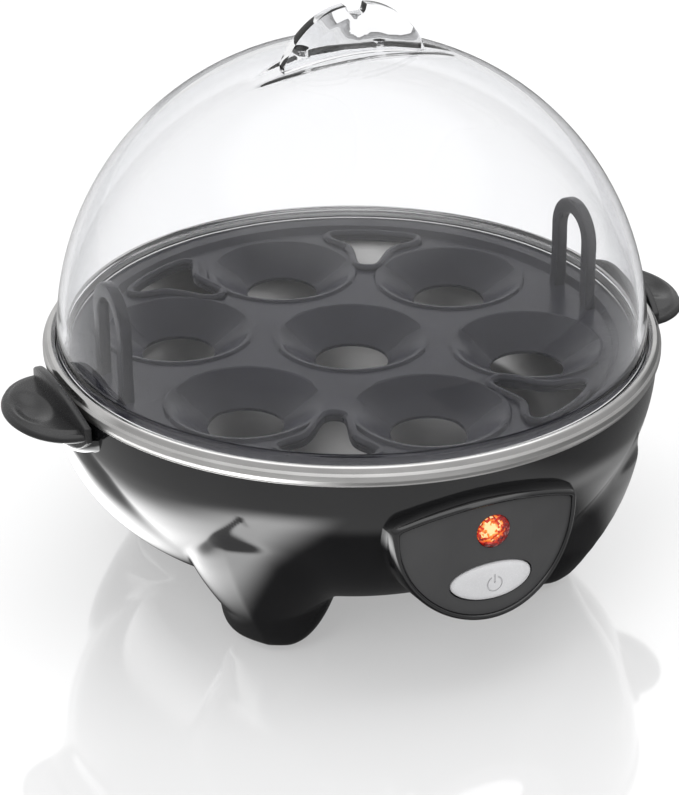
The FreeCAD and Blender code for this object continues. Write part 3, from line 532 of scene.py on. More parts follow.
def side_bulge(angle, z):
    """Extra radius of the low swelling under a side handle, at an angle from that side."""
    above = z - BULGE_WIDE_Z
    half = BULGE_HALF_DEG - above * (1.4 if above > 0 else 0.82)
    if half <= 0:
        return -1.0
    fullest_z = 28.0
    if z > fullest_z:
        tall = 1 - ((z - fullest_z) / 28.0) ** 2
    else:
        tall = 1 - 0.5 * ((fullest_z - z) / 15.0) ** 2
    return BULGE_DEPTH * tall * (1 - (abs(math.degrees(angle)) / half) ** 3) - 0.25


def fold(angle, step):
    """Signed angle to the nearest multiple of step."""
    return (angle + step / 2) % step - step / 2


def shell_body():
    """Round bowl with four keeled legs as one skin: a profile at each angle round the axis."""
    turns, rows = 640, 84
    wall = 2.4
    cover_bore_r, cover_rest_r, cover_lip = 46.9, 40.0, 2.6
    toe_round, toe_depth = 2.6, 2.2
    verts = []
    for k in range(turns):
        a = ROUND * k / turns
        leg = fold(a - math.pi / 4, math.pi / 2)
        # the keels lean towards the side handles, so mirror the angle on two of the legs
        mirrored = math.cos(a) * math.sin(a) > 0
        lean = leg if mirrored else -leg
        side = fold(a, math.pi)
        low = leg_floor(60.0 * lean)
        profile = []
        for i in range(rows + 1):
            t = i / rows
            z = mix(SHELL_TOP, low, t)
            r = LEG_INNER_R
            if z > BOWL_FOOT_Z:
                r = smooth_max(bowl_radius(z), bowl_radius(z) + side_bulge(side, z), 0.5)
            r = smooth_max(r, leg_radius(lean, z), mix(2.6, 1.2, ease((z - 26.0) / 14.0)))
            edge = max(0.0, 1 - (z - low) / toe_round) if low < BOWL_FOOT_Z - 0.02 else 0.0
            profile.append((max(LEG_INNER_R + 0.1, r - toe_depth * edge ** 2.5), z))
        toe_r = profile[-1][0]
        profile += [(mix(toe_r, LEG_INNER_R, t), low) for t in (0.06, 0.5)]
        profile += [(LEG_INNER_R, low), (LEG_INNER_R, BOWL_FOOT_Z - 0.01), (cover_bore_r, BOWL_FOOT_Z)]
        profile += [(cover_bore_r, BOWL_FOOT_Z + cover_lip), (cover_rest_r, BOWL_FOOT_Z + cover_lip)]
        profile += [(cover_rest_r, BOWL_FOOT_Z + 5.0)]
        for i in range(13):
            z = mix(BOWL_FOOT_Z + 5.4, SHELL_TOP, i / 12)
            profile.append((bowl_radius(z) - wall, z))
        verts += [(r * math.cos(a), r * math.sin(a), z) for r, z in profile]
    return piece_from("base_moulding", verts, ring_faces(turns, len(profile)), 40)


def handle_lug(side):
    """U-shaped boss of the base under a side handle."""
    top, reach = 55.9, 18.0
    columns, rows = 48, 12
    verts = []
    for k in range(columns + 1):
        y = mix(-reach, reach, k / columns)
        low = 48.6 + 4.6 * (abs(y) / reach) ** 3
        fade = math.sqrt(clamp(1 - (abs(y) / reach) ** 5))
        for i in range(rows + 1):
            t = i / rows
            z = mix(top, low, t)
            r = LUG_ROOT_R + (LUG_R - LUG_ROOT_R) * fade * math.sqrt(clamp(1 - t ** 2.4))
            verts.append((side * math.sqrt(r * r - y * y), y, z))
        back = side * math.sqrt(LUG_BACK_R ** 2 - y * y)
        verts += [(back, y, low), (back, y, top)]
    count = rows + 3
    faces = ring_faces(columns + 1, count, closed=False)
    faces += [tuple(range(count)), tuple(reversed(range(columns * count, (columns + 1) * count)))]
    piece = piece_from("lug", verts, faces, 50)
    ease_edges(piece, 0.5, 3, 50)
    return piece


def gland_boss():
    """Flat round boss that the cord gland's flange sits on."""
    inner, outer, root, face = 5.6, 9.2, 60.0, gland_high.y - 6.1
    outline = [(inner, root, 0), (outer, root, 0), (outer - 0.2, face, 0.7), (inner, face, 0.3)]
    boss = lathe("boss", soften(outline), 64)
    boss.data.transform(Matrix.Rotation(-math.pi / 2, 4, "X"))
    return place(boss, z=GLAND_Z)


def base_shell():
    piece = shell_body()
    join(piece, [handle_lug(1), handle_lug(-1), gland_boss()])
    return piece


# ---------------------------------------------------------------- side handles
def handle_tab(side):
    """Half-oval thumb tab with a stepped edge and an oval dimple."""
    root, reach, half = 80.4, handle_high.x, handle_high.y - 1.2
    top, low = 59.4, 56.3
    dimple_x, dimple_half, dimple_depth = 87.9, (4.7, 9.2), 1.35
    step_depth, round_depth = 0.55, 1.1
    rings, spokes = 30, 72
    upper, lower = [], []
    for i in range(rings + 1):
        p = i / rings
        for k in range(spokes + 1):
            a = math.pi * (k / spokes - 0.5)
            x = root + (reach - root) * p * math.cos(a)
            y = half * p * math.sin(a)
            thumb = math.hypot((x - dimple_x) / dimple_half[0], y / dimple_half[1])
            edge = step_depth * ease((p - 0.86) / 0.035) + round_depth * clamp((p - 0.93) / 0.07) ** 3
            upper.append((side * x, y, top - edge - dimple_depth * ease((1.12 - thumb) / 0.85)))
            lower.append((side * x, y, low + 1.0 * clamp((p - 0.86) / 0.14) ** 3))
    verts = upper + lower
    row = spokes + 1
    offset = len(upper)
    faces = []
    for i in range(rings):
        for k in range(spokes):
            a, b = i * row + k, (i + 1) * row + k
            faces.append((a, b, b + 1, a + 1))
            faces.append((offset + a, offset + a + 1, offset + b + 1, offset + b))
    for k in range(spokes):
        a = rings * row + k
        faces.append((a, offset + a, offset + a + 1, a + 1))
    for i in range(rings):
        for k in (0, spokes):
            a, b = i * row + k, (i + 1) * row + k
            faces.append((a, b, offset + b, offset + a))
    return piece_from("tab", verts, faces, 50)


def handle_band(side):
    """Arched plate at the tab's root, curved round the rim."""
    columns = 56
    inner, outer = 81.0, 82.8
    half = handle_high.y - 1.0
    verts = []
    for k in range(columns + 1):
        y = mix(-half, half, k / columns)
        s = abs(y) / half
        top = handle_high.z - 0.6 - 5.6 * s ** 2.2
        low = handle_low.z + 4.4 * s ** 5
        for r, z in ((inner, low), (outer, low), (outer, top), (inner, top)):
            verts.append((side * math.sqrt(r * r - y * y), y, z))
    faces = ring_faces(columns + 1, 4, closed=False)
    faces += [(0, 1, 2, 3), tuple(reversed(range(len(verts) - 4, len(verts))))]
    piece = piece_from("band", verts, faces, 40)
    ease_edges(piece, 0.4, 3, 50)
    return piece


def side_handle(side, name):
    piece = handle_tab(side)
    join(piece, [handle_band(side)])
    piece.name = name
    return piece


# ---------------------------------------------------------------- control panel
def shield(inset=0.0):
    """Outline of the panel in (x, z) moved in by inset: half an ellipse under a crowned top."""
    half = SHIELD_HALF - inset
    drop = SHIELD_WIDE_Z - SHIELD_LOW_Z - inset
    top = SHIELD_TOP_Z - inset
    crown_fall = 0.0088
    corner_r = 4.6 - inset * 0.6

    def crown(x):
        return top - crown_fall * x * x

    corners = [(half, SHIELD_WIDE_Z, 0), (half, crown(half), corner_r)]
    corners += [(x, crown(x), 0) for x in (18, 14, 10, 6, 2, -2, -6, -10, -14, -18)]
    corners += [(-half, crown(half), corner_r), (-half, SHIELD_WIDE_Z, 0)]
    below = [(half * math.cos(a), SHIELD_WIDE_Z + drop * math.sin(a))
             for a in (math.pi * (1 + k / 64) for k in range(1, 64))]
    return soften(corners, 10) + below


def wrap(x):
    """How far the panel falls back from its middle as it curves round the bowl."""
    return x * x / (2 * PANEL_CURVE_R)


def wrap_mesh(piece):
    """Curves a flat panel piece round the bowl."""
    for v in piece.data.vertices:
        v.co.y += wrap(v.co.x / MM) * MM
    return piece


def hood():
    """Glossy hood that runs back to the bowl, with a raised rounded bezel round its mouth."""
    # inset of each ring, how far it lies behind the bezel's crest, and its share of the way to the bowl
    rings = [(-0.8, 0.0, 1.0), (-0.6, 0.9, 0.6), (-0.3, 0.9, 0.25), (0.0, 0.9, 0.0), (0.25, 0.35, 0.0),
             (0.7, 0.0, 0.0), (1.15, 0.1, 0.0), (1.5, 0.45, 0.0), (1.65, 1.9, 0.0), (2.2, 2.0, 0.4),
             (2.2, 0.0, 1.0)]
    loops = [shield(inset) for inset, back, share in rings]
    verts = []
    for i in range(len(loops[0])):
        for outline, (inset, back, share) in zip(loops, rings):
            x, z = outline[i]
            wall = 0.8 - math.sqrt(bowl_radius(max(z, BOWL_FOOT_Z)) ** 2 - x * x)
            verts.append((x, mix(BEZEL_Y + back + wrap(x), wall, share), z))
    return piece_from("panel_hood", verts, ring_faces(len(loops[0]), len(rings)), 50)


def oval(half_x, half_z, middle_z, steps=96):
    """Closed outline of an ellipse in (x, z) about a height."""
    angles = [ROUND * k / steps for k in range(steps)]
    return [(half_x * math.cos(a), half_z * math.sin(a) + middle_z) for a in angles]


def face_plate():
    """Satin plate in the bezel with a round lamp hole and an oval button hole."""
    front = [(x, PANEL_Y + wrap(x)) for x in range(-26, 27)]
    plate = upright("panel_plate", front + [(x, y + 1.3) for x, y in reversed(front)], 15, 60)
    combine(plate, [prism("trim", shield(1.62), PANEL_Y - 5, PANEL_Y + 12)], "INTERSECT")
    gap, lamp_r, collar_wall = 0.35, LAMP_R + 0.15, 1.5
    button_opening = oval(BUTTON_A + gap, BUTTON_B + gap, BUTTON_Z)
    lamp_opening = oval(lamp_r, lamp_r, LAMP_Z, 64)
    combine(plate, [prism("hole", opening, PANEL_Y - 2, PANEL_Y + 6)
                    for opening in (button_opening, lamp_opening)])
    ease_edges(plate, 0.25, 3, 50)
    outside = oval(BUTTON_A + collar_wall, BUTTON_B + collar_wall, BUTTON_Z)
    collar = prism("collar", outside, PANEL_Y + 1.2, PANEL_Y + 4.2)
    combine(collar, [prism("bore", button_opening, PANEL_Y, PANEL_Y + 6)])
    join(plate, [wrap_mesh(collar)])
    return plate


def panel_screws():
    """Two pan-head screws that hold the hood to the shell, under the face plate."""
    shank_r, head_r, shank, head = 1.2, 2.2, 6.2, 7.6
    slot_half = (1.3, 0.3)
    screws = []
    for side in (-1, 1):
        outline = [(0, 0, 0), (shank_r, 0, 0.2), (shank_r, shank, 0.2), (head_r, shank, 0.2),
                   (head_r, head, 0.5), (0, head + 0.2, 0)]
        screw = lathe("screw", soften(outline, 4), 40)
        slots = [prism("slot", [(-slot_half[0], -slot_half[1]), (slot_half[0], -slot_half[1]), slot_half,
                                (-slot_half[0], slot_half[1])], -3, 3) for k in range(2)]
        slots[1].data.transform(Matrix.Rotation(math.pi / 2, 4, "Y"))
        for slot in slots:
            lift = Matrix.Translation((0, 0, (head + 2.6) * MM))
            slot.data.transform(lift @ Matrix.Rotation(math.pi / 2, 4, "X"))
        combine(screw, slots)
        screws.append(along_y(screw, side * SCREW_X, SCREW_Y, SCREW_Z))
    join(screws[0], screws[1:])
    screws[0].name = "panel_screw_pair"
    return screws[0]


def button_cap():
    """Oval domed button with a generic power sign pressed into it."""
    spokes = 128
    depth = PANEL_Y + 5.0 - CROWN_Y
    profile = [(0.0, 0.0)] + [(0.1 * k, 0.55 * (0.1 * k) ** 2) for k in range(1, 9)]
    profile += [(0.86, 0.45), (0.92, 0.62), (0.965, 0.92), (0.99, 1.35), (1.0, 1.9), (1.0, depth)]
    verts = []
    for p, back in profile:
        flat = 0.55 * (p * 0.86) ** 2 if p < 0.85 else back
        for k in range(spokes):
            a = ROUND * k / spokes
            verts.append((BUTTON_A * p * math.cos(a), CROWN_Y + flat,
                          BUTTON_Z + BUTTON_B * p * math.sin(a)))
    faces = []
    for i in range(len(profile) - 1):
        for k in range(spokes):
            j = (k + 1) % spokes
            faces.append((i * spokes + k, i * spokes + j, (i + 1) * spokes + j, (i + 1) * spokes + k))
    faces.append(tuple(range((len(profile) - 1) * spokes, len(profile) * spokes)))
    cap = piece_from("button_cap", verts, faces, 50)
    sign_z = BUTTON_Z - 0.3
    inner, outer, groove = 1.75, 2.15, 0.32
    circle = lathe("sign", [(inner, -1), (outer, -1), (outer, groove), (inner, groove)], 72)
    ring = along_y(circle, 0, CROWN_Y, sign_z)
    ring.data.transform(Matrix.Scale(-1, 4, (0, 1, 0)) @ Matrix.Translation((0, -2 * CROWN_Y * MM, 0)))
    gap = prism("gap", [(-0.85, sign_z + 0.6), (0.85, sign_z + 0.6), (0.85, sign_z + 3), (-0.85, sign_z + 3)],
                CROWN_Y - 2, CROWN_Y + 2)
    combine(ring, [gap])
    stroke = prism("stroke", soften([(-0.22, sign_z + 0.2, 0.2), (0.22, sign_z + 0.2, 0.2),
                                     (0.22, sign_z + 2.7, 0.2), (-0.22, sign_z + 2.7, 0.2)], 3),
                   CROWN_Y - 1, CROWN_Y + groove)
    combine(cap, [ring, stroke])
    return wrap_mesh(cap)


def lens():
    """Red lens: a smooth dome moulded with rings of small facets behind its face."""
    rings, spokes = 9, 30
    face_r = 8.0
    flange_r, flange_y = LAMP_R + 1.2, PANEL_Y + 1.35
    verts = [(0, CROWN_Y, LAMP_Z)]
    for i in range(1, rings + 1):
        p = i / rings
        for k in range(spokes):
            a = ROUND * (k + 0.5 * (i % 2)) / spokes
            sag = face_r - math.sqrt(face_r ** 2 - (LAMP_R * p) ** 2)
            dent = 0.09 if (i + k) % 2 else -0.03
            if i == rings:
                dent = 0.0
            verts.append((LAMP_R * p * math.cos(a), CROWN_Y + sag + dent, LAMP_Z + LAMP_R * p * math.sin(a)))
    faces = [(0, 1 + k, 1 + (k + 1) % spokes) for k in range(spokes)]
    for i in range(rings - 1):
        for k in range(spokes):
            a, b = 1 + i * spokes + k, 1 + i * spokes + (k + 1) % spokes
            faces += [(a, a + spokes, b), (b, a + spokes, b + spokes)]
    last = len(verts) - spokes
    for y, r in ((flange_y, LAMP_R), (flange_y, flange_r), (PANEL_Y + 2.5, flange_r)):
        for k in range(spokes):
            a = ROUND * (k + 0.5 * (rings % 2)) / spokes
            verts.append((r * math.cos(a), y, LAMP_Z + r * math.sin(a)))
    for i in range(3):
        for k in range(spokes):
            a, b = last + i * spokes + k, last + i * spokes + (k + 1) % spokes
            faces.append((a, a + spokes, b + spokes, b))
    faces.append(tuple(range(len(verts) - spokes, len(verts))))
    return piece_from("red_lens", verts, faces, 12)


# ---------------------------------------------------------------- materials
class Nodes:
    """A shader node tree, with short ways to add nodes to it."""

    def __init__(self, tree):
        self.tree = tree

    def node(self, kind, **values):
        """New node: in_ values go on its input sockets, with _ for a space, and the rest are settings."""
        made = self.tree.nodes.new(kind)
        for key, value in values.items():
            if key.startswith("in_"):
                made.inputs[key[3:].replace("_", " ")].default_value = value
            else:
                setattr(made, key, value)
        return made

    def link(self, out, into):
        self.tree.links.new(out, into)

    def feed(self, socket, value):
        """Links an output to a socket, or sets the socket to a constant."""
        if isinstance(value, bpy.types.NodeSocket):
            self.link(value, socket)
        else:
            socket.default_value = value

    def math(self, operation, *values):
        made = self.node("ShaderNodeMath", operation=operation)
        for socket, value in zip(made.inputs, values):
            self.feed(socket, value)
        return made.outputs[0]

    def ranged(self, value, start, end, low, high, curve="LINEAR"):
        """Maps start..end to low..high, held at both ends."""
        made = self.node("ShaderNodeMapRange", interpolation_type=curve, in_From_Min=start, in_From_Max=end,
                         in_To_Min=low, in_To_Max=high)
        self.link(value, made.inputs["Value"])
        return made.outputs["Result"]

    def coordinates(self, kind="Object"):
        return self.node("ShaderNodeTexCoord").outputs[kind]

    def split(self, vector):
        """The X, Y and Z sockets of a vector."""
        made = self.node("ShaderNodeSeparateXYZ")
        self.link(vector, made.inputs["Vector"])
        return made.outputs

    def joined(self, *parts):
        """A vector from its X, Y and Z."""
        made = self.node("ShaderNodeCombineXYZ")
        for socket, part in zip(made.inputs, parts):
            self.link(part, socket)
        return made.outputs["Vector"]

    def reach(self, vector):
        """Length of a vector."""
        made = self.node("ShaderNodeVectorMath", operation="LENGTH")
        self.link(vector, made.inputs[0])
        return made.outputs["Value"]

    def choose(self, factor, first, second):
        """Mix of two shaders: the first where the factor is 0, the second where it is 1."""
        made = self.node("ShaderNodeMixShader")
        self.feed(made.inputs["Fac"], factor)
        self.link(first, made.inputs[1])
        self.link(second, made.inputs[2])
        return made.outputs["Shader"]

    def in_reflections(self):
        """1 for a ray that a surface reflects, 0 for the eye's own rays and those through the clear lid."""
        path = self.node("ShaderNodeLightPath")
        return self.math("SUBTRACT", path.outputs["Is Glossy Ray"], path.outputs["Is Transmission Ray"])


class Look(Nodes):
    """A new material with its main shader."""

    def __init__(self, name, **values):
        self.material = bpy.data.materials.new(name)
        self.material.use_nodes = True
        super().__init__(self.material.node_tree)
        self.shader = self.tree.nodes["Principled BSDF"]
        for key, value in values.items():
            self.shader.inputs[key.replace("_", " ")].default_value = value

    def surface(self, shader):
        """Puts another shader on the surface in place of the main one."""
        self.link(shader, self.tree.nodes["Material Output"].inputs["Surface"])

    def position(self, scale=(1, 1, 1)):
        """Object coordinates, in millimetres before the scale."""
        mapping = self.node("ShaderNodeMapping", in_Scale=[s / MM for s in scale])
        self.link(self.coordinates(), mapping.inputs["Vector"])
        return mapping.outputs["Vector"]

    def around(self, along, across):
        """Coordinates that run round the Z axis, for brushing and moulding marks."""
        x, y, z = self.split(self.coordinates())
        parts = ((self.math("ARCTAN2", y, x), along),
                 (self.reach(self.joined(x, y)), across / MM),
                 (z, across / MM))
        return self.joined(*(self.math("MULTIPLY", part, scale) for part, scale in parts))

    def noise(self, vector, scale=1.0, detail=4.0, roughness=0.55):
        made = self.node("ShaderNodeTexNoise", in_Scale=scale, in_Detail=detail, in_Roughness=roughness)
        self.link(vector, made.inputs["Vector"])
        return made.outputs["Fac"]

    def spread(self, value, low, high):
        """Maps a noise to a roughness of low..high."""
        self.link(self.ranged(value, 0.3, 0.7, low, high), self.shader.inputs["Roughness"])

    def colours(self, value, stops, socket="Base Color"):
        """Colours a shader socket by a value, through stops of (position, colour)."""
        ramp = self.node("ShaderNodeValToRGB")
        elements = ramp.color_ramp.elements
        for element, (position, colour) in ((elements[0], stops[0]), (elements[1], stops[-1])):
            element.position = position
            element.color = (*colour, 1)
        for position, colour in stops[1:-1]:
            elements.new(position).color = (*colour, 1)
        self.link(value, ramp.inputs["Fac"])
        self.link(ramp.outputs["Color"], self.shader.inputs[socket])

    def tint(self, value, dark, light):
        """Colours between two tones by a noise."""
        self.colours(value, ((0.3, dark), (0.7, light)))

    def bump(self, value, height, strength=0.5):
        """Surface relief of a height in millimetres."""
        made = self.node("ShaderNodeBump", in_Strength=strength, in_Distance=height * MM)
        self.link(value, made.inputs["Height"])
        self.link(made.outputs["Normal"], self.shader.inputs["Normal"])


def gloss_plastic(name, dark, light, rough=(0.05, 0.12), coat=0.4):
    """Polished moulding: faint flow waviness, dust-fine roughness change."""
    look = Look(name, IOR=1.5, Coat_Weight=coat, Coat_Roughness=0.03)
    slow = look.noise(look.position((0.035, 0.035, 0.035)), detail=3)
    fine = look.noise(look.position((1.6, 1.6, 1.6)), detail=6)
    look.tint(slow, dark, light)
    look.spread(fine, *rough)
    look.bump(slow, 0.12, 0.25)
    return look.material


def satin_plastic(name, dark, light, rough=(0.34, 0.48), grain=0.02, scale=3.5, level=0.5):
    """Spark-eroded moulding: fine even grain."""
    look = Look(name, IOR=1.48, Specular_IOR_Level=level)
    slow = look.noise(look.position((0.06, 0.06, 0.06)), detail=3)
    fine = look.noise(look.position((scale, scale, scale)), detail=5, roughness=0.7)
    look.tint(slow, dark, light)
    look.spread(fine, *rough)
    look.bump(fine, grain, 0.6)
    return look.material


def metal(name, dark, light, rough=(0.2, 0.35), grain=0.008, scale=(0.5, 0.5, 2.5)):
    """Metal with fine scratches and slightly uneven tone."""
    look = Look(name, Metallic=1.0)
    slow = look.noise(look.position((0.12, 0.12, 0.12)), detail=4)
    fine = look.noise(look.position(scale), detail=8, roughness=0.7)
    look.tint(slow, dark, light)
    look.spread(fine, *rough)
    look.bump(fine, grain, 0.5)
    return look.material


def rim_steel(name):
    """Stainless steel brushed round the bowl, polished along its rolled bead."""
    look = Look(name, Metallic=1.0)
    streaks = look.noise(look.around(3.0, 7.0), detail=6, roughness=0.6)
    patches = look.noise(look.position((0.05, 0.05, 0.2)), detail=3)
    look.tint(patches, (0.5, 0.495, 0.488), (0.64, 0.634, 0.625))
    height = look.split(look.coordinates())["Z"]
    bead = look.ranged(height, (RIM_TOP - 1.9) * MM, (RIM_TOP - 1.2) * MM, 0.38, 0.12)
    rough = look.math("SUBTRACT", look.math("MULTIPLY_ADD", streaks, 0.16, bead), 0.08)
    look.link(rough, look.shader.inputs["Roughness"])
    look.bump(streaks, 0.012, 0.5)
    return look.material


def clear_plastic(name, tone, faint, index):
    """Clear polycarbonate with a faint haze, greyer where it is seen edge on; lamps shine through it."""
    look = Look(name, IOR=index, Transmission_Weight=1.0)
    edge = look.node("ShaderNodeLayerWeight", in_Blend=0.35)
    look.colours(edge.outputs["Facing"], ((0.4, (0.965, 0.967, 0.975)), (1.0, tone)))
    haze = look.noise(look.position((0.05, 0.05, 0.05)), detail=2)
    look.spread(haze, 0.0, faint)
    look.bump(haze, 0.15, 0.1)
    passing = look.node("ShaderNodeBsdfTransparent", in_Color=(0.95, 0.953, 0.965, 1))
    path = look.node("ShaderNodeLightPath")
    look.surface(look.choose(path.outputs["Is Shadow Ray"], look.shader.outputs["BSDF"],
                             passing.outputs["BSDF"]))
    return look.material


def lens_red(name):
    """Lit red lens: a hot yellow cluster up and left of its middle, dark red edges."""
    look = Look(name, IOR=1.49, Roughness=0.08, Coat_Weight=0.5, Emission_Strength=1.0)
    vector = look.position()
    cells = look.node("ShaderNodeTexVoronoi", in_Scale=1.5, in_Randomness=0.9)
    look.link(vector, cells.inputs["Vector"])
    heart = look.node("ShaderNodeVectorMath", operation="DISTANCE")
    heart.inputs[1].default_value = (-1.3, CROWN_Y + 0.3, LAMP_Z + 1.3)
    look.link(vector, heart.inputs[0])
    near = look.ranged(heart.outputs["Value"], 5.4, 0.4, 0.0, 1.0)
    cell_tone = look.node("ShaderNodeSeparateColor")
    look.link(cells.outputs["Color"], cell_tone.inputs["Color"])
    glow = look.math("MULTIPLY_ADD", cell_tone.outputs["Red"], 0.5, look.math("SUBTRACT", near, 0.2))
    look.colours(glow, ((0.0, (0.03, 0.001, 0.001)), (0.3, (0.2, 0.004, 0.002)), (0.52, (0.62, 0.03, 0.006)),
                        (0.68, (1.0, 0.3, 0.03)), (0.82, (1.0, 0.86, 0.42))), "Emission Color")
    look.tint(cell_tone.outputs["Green"], (0.05, 0.001, 0.001), (0.12, 0.003, 0.002))
    return look.material


# each slot's maker, with what it takes after the name
LOOKS = {
    "clear_lid": (clear_plastic, (0.62, 0.635, 0.67), 0.01, 1.38),
    "clear_handle": (clear_plastic, (0.8, 0.81, 0.84), 0.01, 1.45),
    "tray_black": (satin_plastic, (0.01, 0.01, 0.014), (0.016, 0.016, 0.022), (0.2, 0.3), 0.003, 3.5, 0.2),
    "rim_steel": (rim_steel,),
    "shell_black": (gloss_plastic, (0.0055, 0.0055, 0.006), (0.008, 0.008, 0.0085)),
    "cover_black": (satin_plastic, (0.02, 0.02, 0.02), (0.032, 0.032, 0.032), (0.5, 0.7), 0.05),
    "handle_black": (satin_plastic, (0.012, 0.012, 0.0125), (0.017, 0.017, 0.0175), (0.2, 0.3), 0.01, 3.5,
                     0.38),
    "panel_dark": (satin_plastic, (0.036, 0.036, 0.037), (0.044, 0.044, 0.045), (0.34, 0.44)),
    "button_silver": (satin_plastic, (0.48, 0.48, 0.49), (0.55, 0.55, 0.56), (0.2, 0.32), 0.01),
    "lens_red": (lens_red,),
    "lamp_glass": (gloss_plastic, (0.75, 0.42, 0.22), (0.9, 0.6, 0.35)),
    "rubber_black": (satin_plastic, (0.018, 0.018, 0.018), (0.03, 0.03, 0.03), (0.7, 0.85), 0.04, 2.5),
    "seal_grey": (satin_plastic, (0.2, 0.2, 0.205), (0.27, 0.27, 0.275), (0.55, 0.7), 0.02),
    "screw_steel": (metal, (0.42, 0.42, 0.43), (0.58, 0.58, 0.6), (0.22, 0.38)),
    "sheet_steel": (metal, (0.45, 0.46, 0.47), (0.58, 0.59, 0.6), (0.3, 0.45)),
    "spring_steel": (metal, (0.5, 0.5, 0.5), (0.64, 0.64, 0.64), (0.15, 0.28)),
    "cast_alu": (metal, (0.58, 0.59, 0.6), (0.7, 0.71, 0.72), (0.35, 0.55), 0.03),
    "element_sheath": (metal, (0.38, 0.36, 0.34), (0.52, 0.5, 0.48), (0.35, 0.5)),
    "ceramic_white": (gloss_plastic, (0.78, 0.77, 0.72), (0.86, 0.85, 0.81), (0.12, 0.25), 0.2),
    "brass_tab": (metal, (0.66, 0.48, 0.2), (0.8, 0.62, 0.32), (0.22, 0.36)),
    "switch_plastic": (satin_plastic, (0.05, 0.05, 0.058), (0.08, 0.08, 0.09)),
    "holder_white": (satin_plastic, (0.72, 0.71, 0.66), (0.82, 0.81, 0.76)),
    "lead_white": (satin_plastic, (0.7, 0.7, 0.68), (0.84, 0.84, 0.82), (0.5, 0.7), 0.06, 6),
    "lead_black": (satin_plastic, (0.025, 0.025, 0.025), (0.045, 0.045, 0.045), (0.4, 0.55), 0.03),
    "fuse_silver": (metal, (0.6, 0.6, 0.62), (0.74, 0.74, 0.76), (0.18, 0.3)),
}


def dress(thing, material):
    thing.data.materials.clear()
    thing.data.materials.append(material)


# ---------------------------------------------------------------- assembly
looks = {slot: make(slot, *values) for slot, (make, *values) in LOOKS.items()}

for entry in frame["record"]["subparts"]:
    dress(frame["nodes"][entry["node"]], looks[entry["material_slot"]])


def add(piece, body, slot, node):
    """Puts a finished piece on its body in place of a CAD node."""
    dress(piece, looks[slot])
    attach(piece, body)
    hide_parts(node)


add(dome(), "lid", "clear_lid", "lid_dome")
add(fin(), "lid", "clear_handle", "lid_handle")
add(tray(), "tray", "tray_black", "egg_tray")
add(steel_bowl(), "base", "rim_steel", "heating_bowl")
add(base_shell(), "base", "shell_black", "base_shell")
add(side_handle(1, "thumb_handle_right"), "base", "handle_black", "side_handle_right")
add(side_handle(-1, "thumb_handle_left"), "base", "handle_black", "side_handle_left")
add(hood(), "base", "shell_black", "panel_housing")
add(face_plate(), "base", "panel_dark", "panel_face")
add(panel_screws(), "base", "screw_steel", "panel_screws")
add(button_cap(), "button", "button_silver", "power_button")
add(lens(), "base", "lens_red", "indicator_lens")


# ---------------------------------------------------------------- floor, light and camera
def floor():
    """Pale glossy sweep. Other surfaces see in it a painted reflection card instead of the floor: painted
    shade close in and dimmer to the right, a bright painted highlight strip at the left and a weaker one at
    the right.
    """
    half = 3000.0
    piece = piece_from("floor", [(-half, -half, 0), (half, -half, 0), (half, half, 0), (-half, half, 0)],
                       [(0, 1, 2, 3)])
    look = Look("pale_floor")
    look.tree.nodes.remove(look.shader)
    matt = look.node("ShaderNodeBsdfDiffuse", in_Color=(0.95, 0.95, 0.955, 1))
    sheen = look.node("ShaderNodeEmission")
    mirror = look.node("ShaderNodeBsdfAnisotropic", in_Roughness=0.06, in_Color=(1, 1, 1, 1))
    pale = look.choose(0.5, matt.outputs["BSDF"], sheen.outputs["Emission"])
    mirror_share = 0.27
    surface = look.choose(mirror_share, pale, mirror.outputs["BSDF"])
    where = look.coordinates()
    reach = look.reach(where)
    across = look.split(where)["X"]

    def fade(value, start, end, low, high):
        return look.ranged(value, start, end, low, high, "SMOOTHSTEP")

    def times(a, b):
        return look.math("MULTIPLY", a, b)

    # strengths of the painted reflection card that other surfaces see, by metres from the object's middle
    # painted shade: dark close round the object, grey further out, dimmer to the right
    painted_shade_table = times(fade(reach, 0.098, 0.112, 0.06, 0.6), fade(across, 0.06, 0.11, 1.0, 0.35))
    # painted highlight: bright strip at the left
    left = times(fade(across, -0.050, -0.078, 0.0, 4.5), fade(across, -0.084, -0.112, 1.0, 0.05))
    # painted highlight: weaker strip at the right
    right = times(fade(across, 0.060, 0.084, 0.0, 0.5), fade(across, 0.09, 0.12, 1.0, 0.0))
    painted_highlight_strips = times(look.math("ADD", left, right), fade(reach, 0.108, 0.128, 1.0, 0.0))
    painted_reflection_card = look.node("ShaderNodeEmission")
    look.link(look.math("ADD", painted_shade_table, painted_highlight_strips), painted_reflection_card.inputs["Strength"])
    # reflected rays see the painted card of shade and highlights; the eye and rays through the lid see the
    # plain floor
    look.surface(look.choose(look.in_reflections(), surface, painted_reflection_card.outputs["Emission"]))
    dress(piece, look.material)


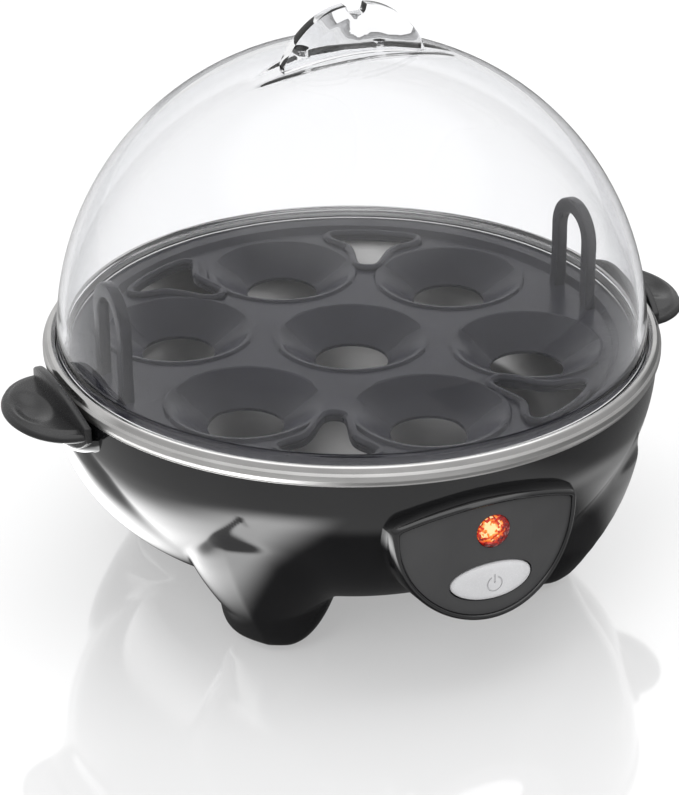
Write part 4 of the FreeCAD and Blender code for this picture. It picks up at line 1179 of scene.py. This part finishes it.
def softbox(name, place_mm, aim_mm, size_mm, watts):
    """Area lamp that shows in no reflection and not through the lid."""
    light = bpy.data.lights.new(name, "AREA")
    light.shape = "RECTANGLE"
    light.size, light.size_y = size_mm[0] * MM, size_mm[1] * MM
    light.energy = watts
    lamp = bpy.data.objects.new(name, light)
    lamp.visible_glossy = False
    lamp.visible_transmission = False
    bpy.context.scene.collection.objects.link(lamp)
    lamp.location = Vector(place_mm) * MM
    lamp.rotation_euler = (Vector(aim_mm) - Vector(place_mm)).to_track_quat("-Z", "Y").to_euler()


def studio():
    """White surround for the eye; reflections see a graded room with a white back wall."""
    world = bpy.data.worlds.new("studio")
    bpy.context.scene.world = world
    world.use_nodes = True
    room = Nodes(world.node_tree)
    room.tree.nodes.clear()
    towards = room.split(room.coordinates("Generated"))
    rise = room.ranged(towards["Z"], 0.0, 0.7, 0.45, 1.0)
    back = room.ranged(towards["Y"], 0.2, 0.55, 0.0, 1.05)
    overhead = room.ranged(towards["Z"], 0.58, 0.8, 0.0, 2.4)
    dim = room.node("ShaderNodeBackground")
    room.link(room.math("MAXIMUM", room.math("MAXIMUM", rise, back), overhead), dim.inputs["Strength"])
    white = room.node("ShaderNodeBackground", in_Color=(1, 1, 1, 1))
    seen = room.choose(room.in_reflections(), white.outputs["Background"], dim.outputs["Background"])
    room.link(seen, room.node("ShaderNodeOutputWorld").inputs["Surface"])
    softbox("key", (-620, -520, 700), (0, 0, 60), (400, 600), 2.6)
    softbox("fill", (700, -300, 420), (0, 0, 60), (200, 620), 1.0)
    softbox("top", (0, 60, 900), (0, 0, 60), (900, 900), 4)


def camera():
    """Camera at the photograph's viewing angle."""
    lens_mm, sensor_mm = 141.96, 36.0
    data = bpy.data.cameras.new("camera")
    data.lens = lens_mm
    data.sensor_width = sensor_mm
    data.sensor_fit = "AUTO"
    data.clip_start = 0.05
    data.clip_end = 20
    eye = bpy.data.objects.new("camera", data)
    bpy.context.scene.collection.objects.link(eye)
    eye.location = Vector((-306.1, -663.95, 415.1)) * MM
    aim = Vector((-2.91, 1.33, 43.7)) * MM
    eye.rotation_euler = (aim - eye.location).to_track_quat("-Z", "Y").to_euler()
    bpy.context.scene.camera = eye


floor()
studio()
camera()
bpy.context.scene.view_settings.view_transform = "Standard"
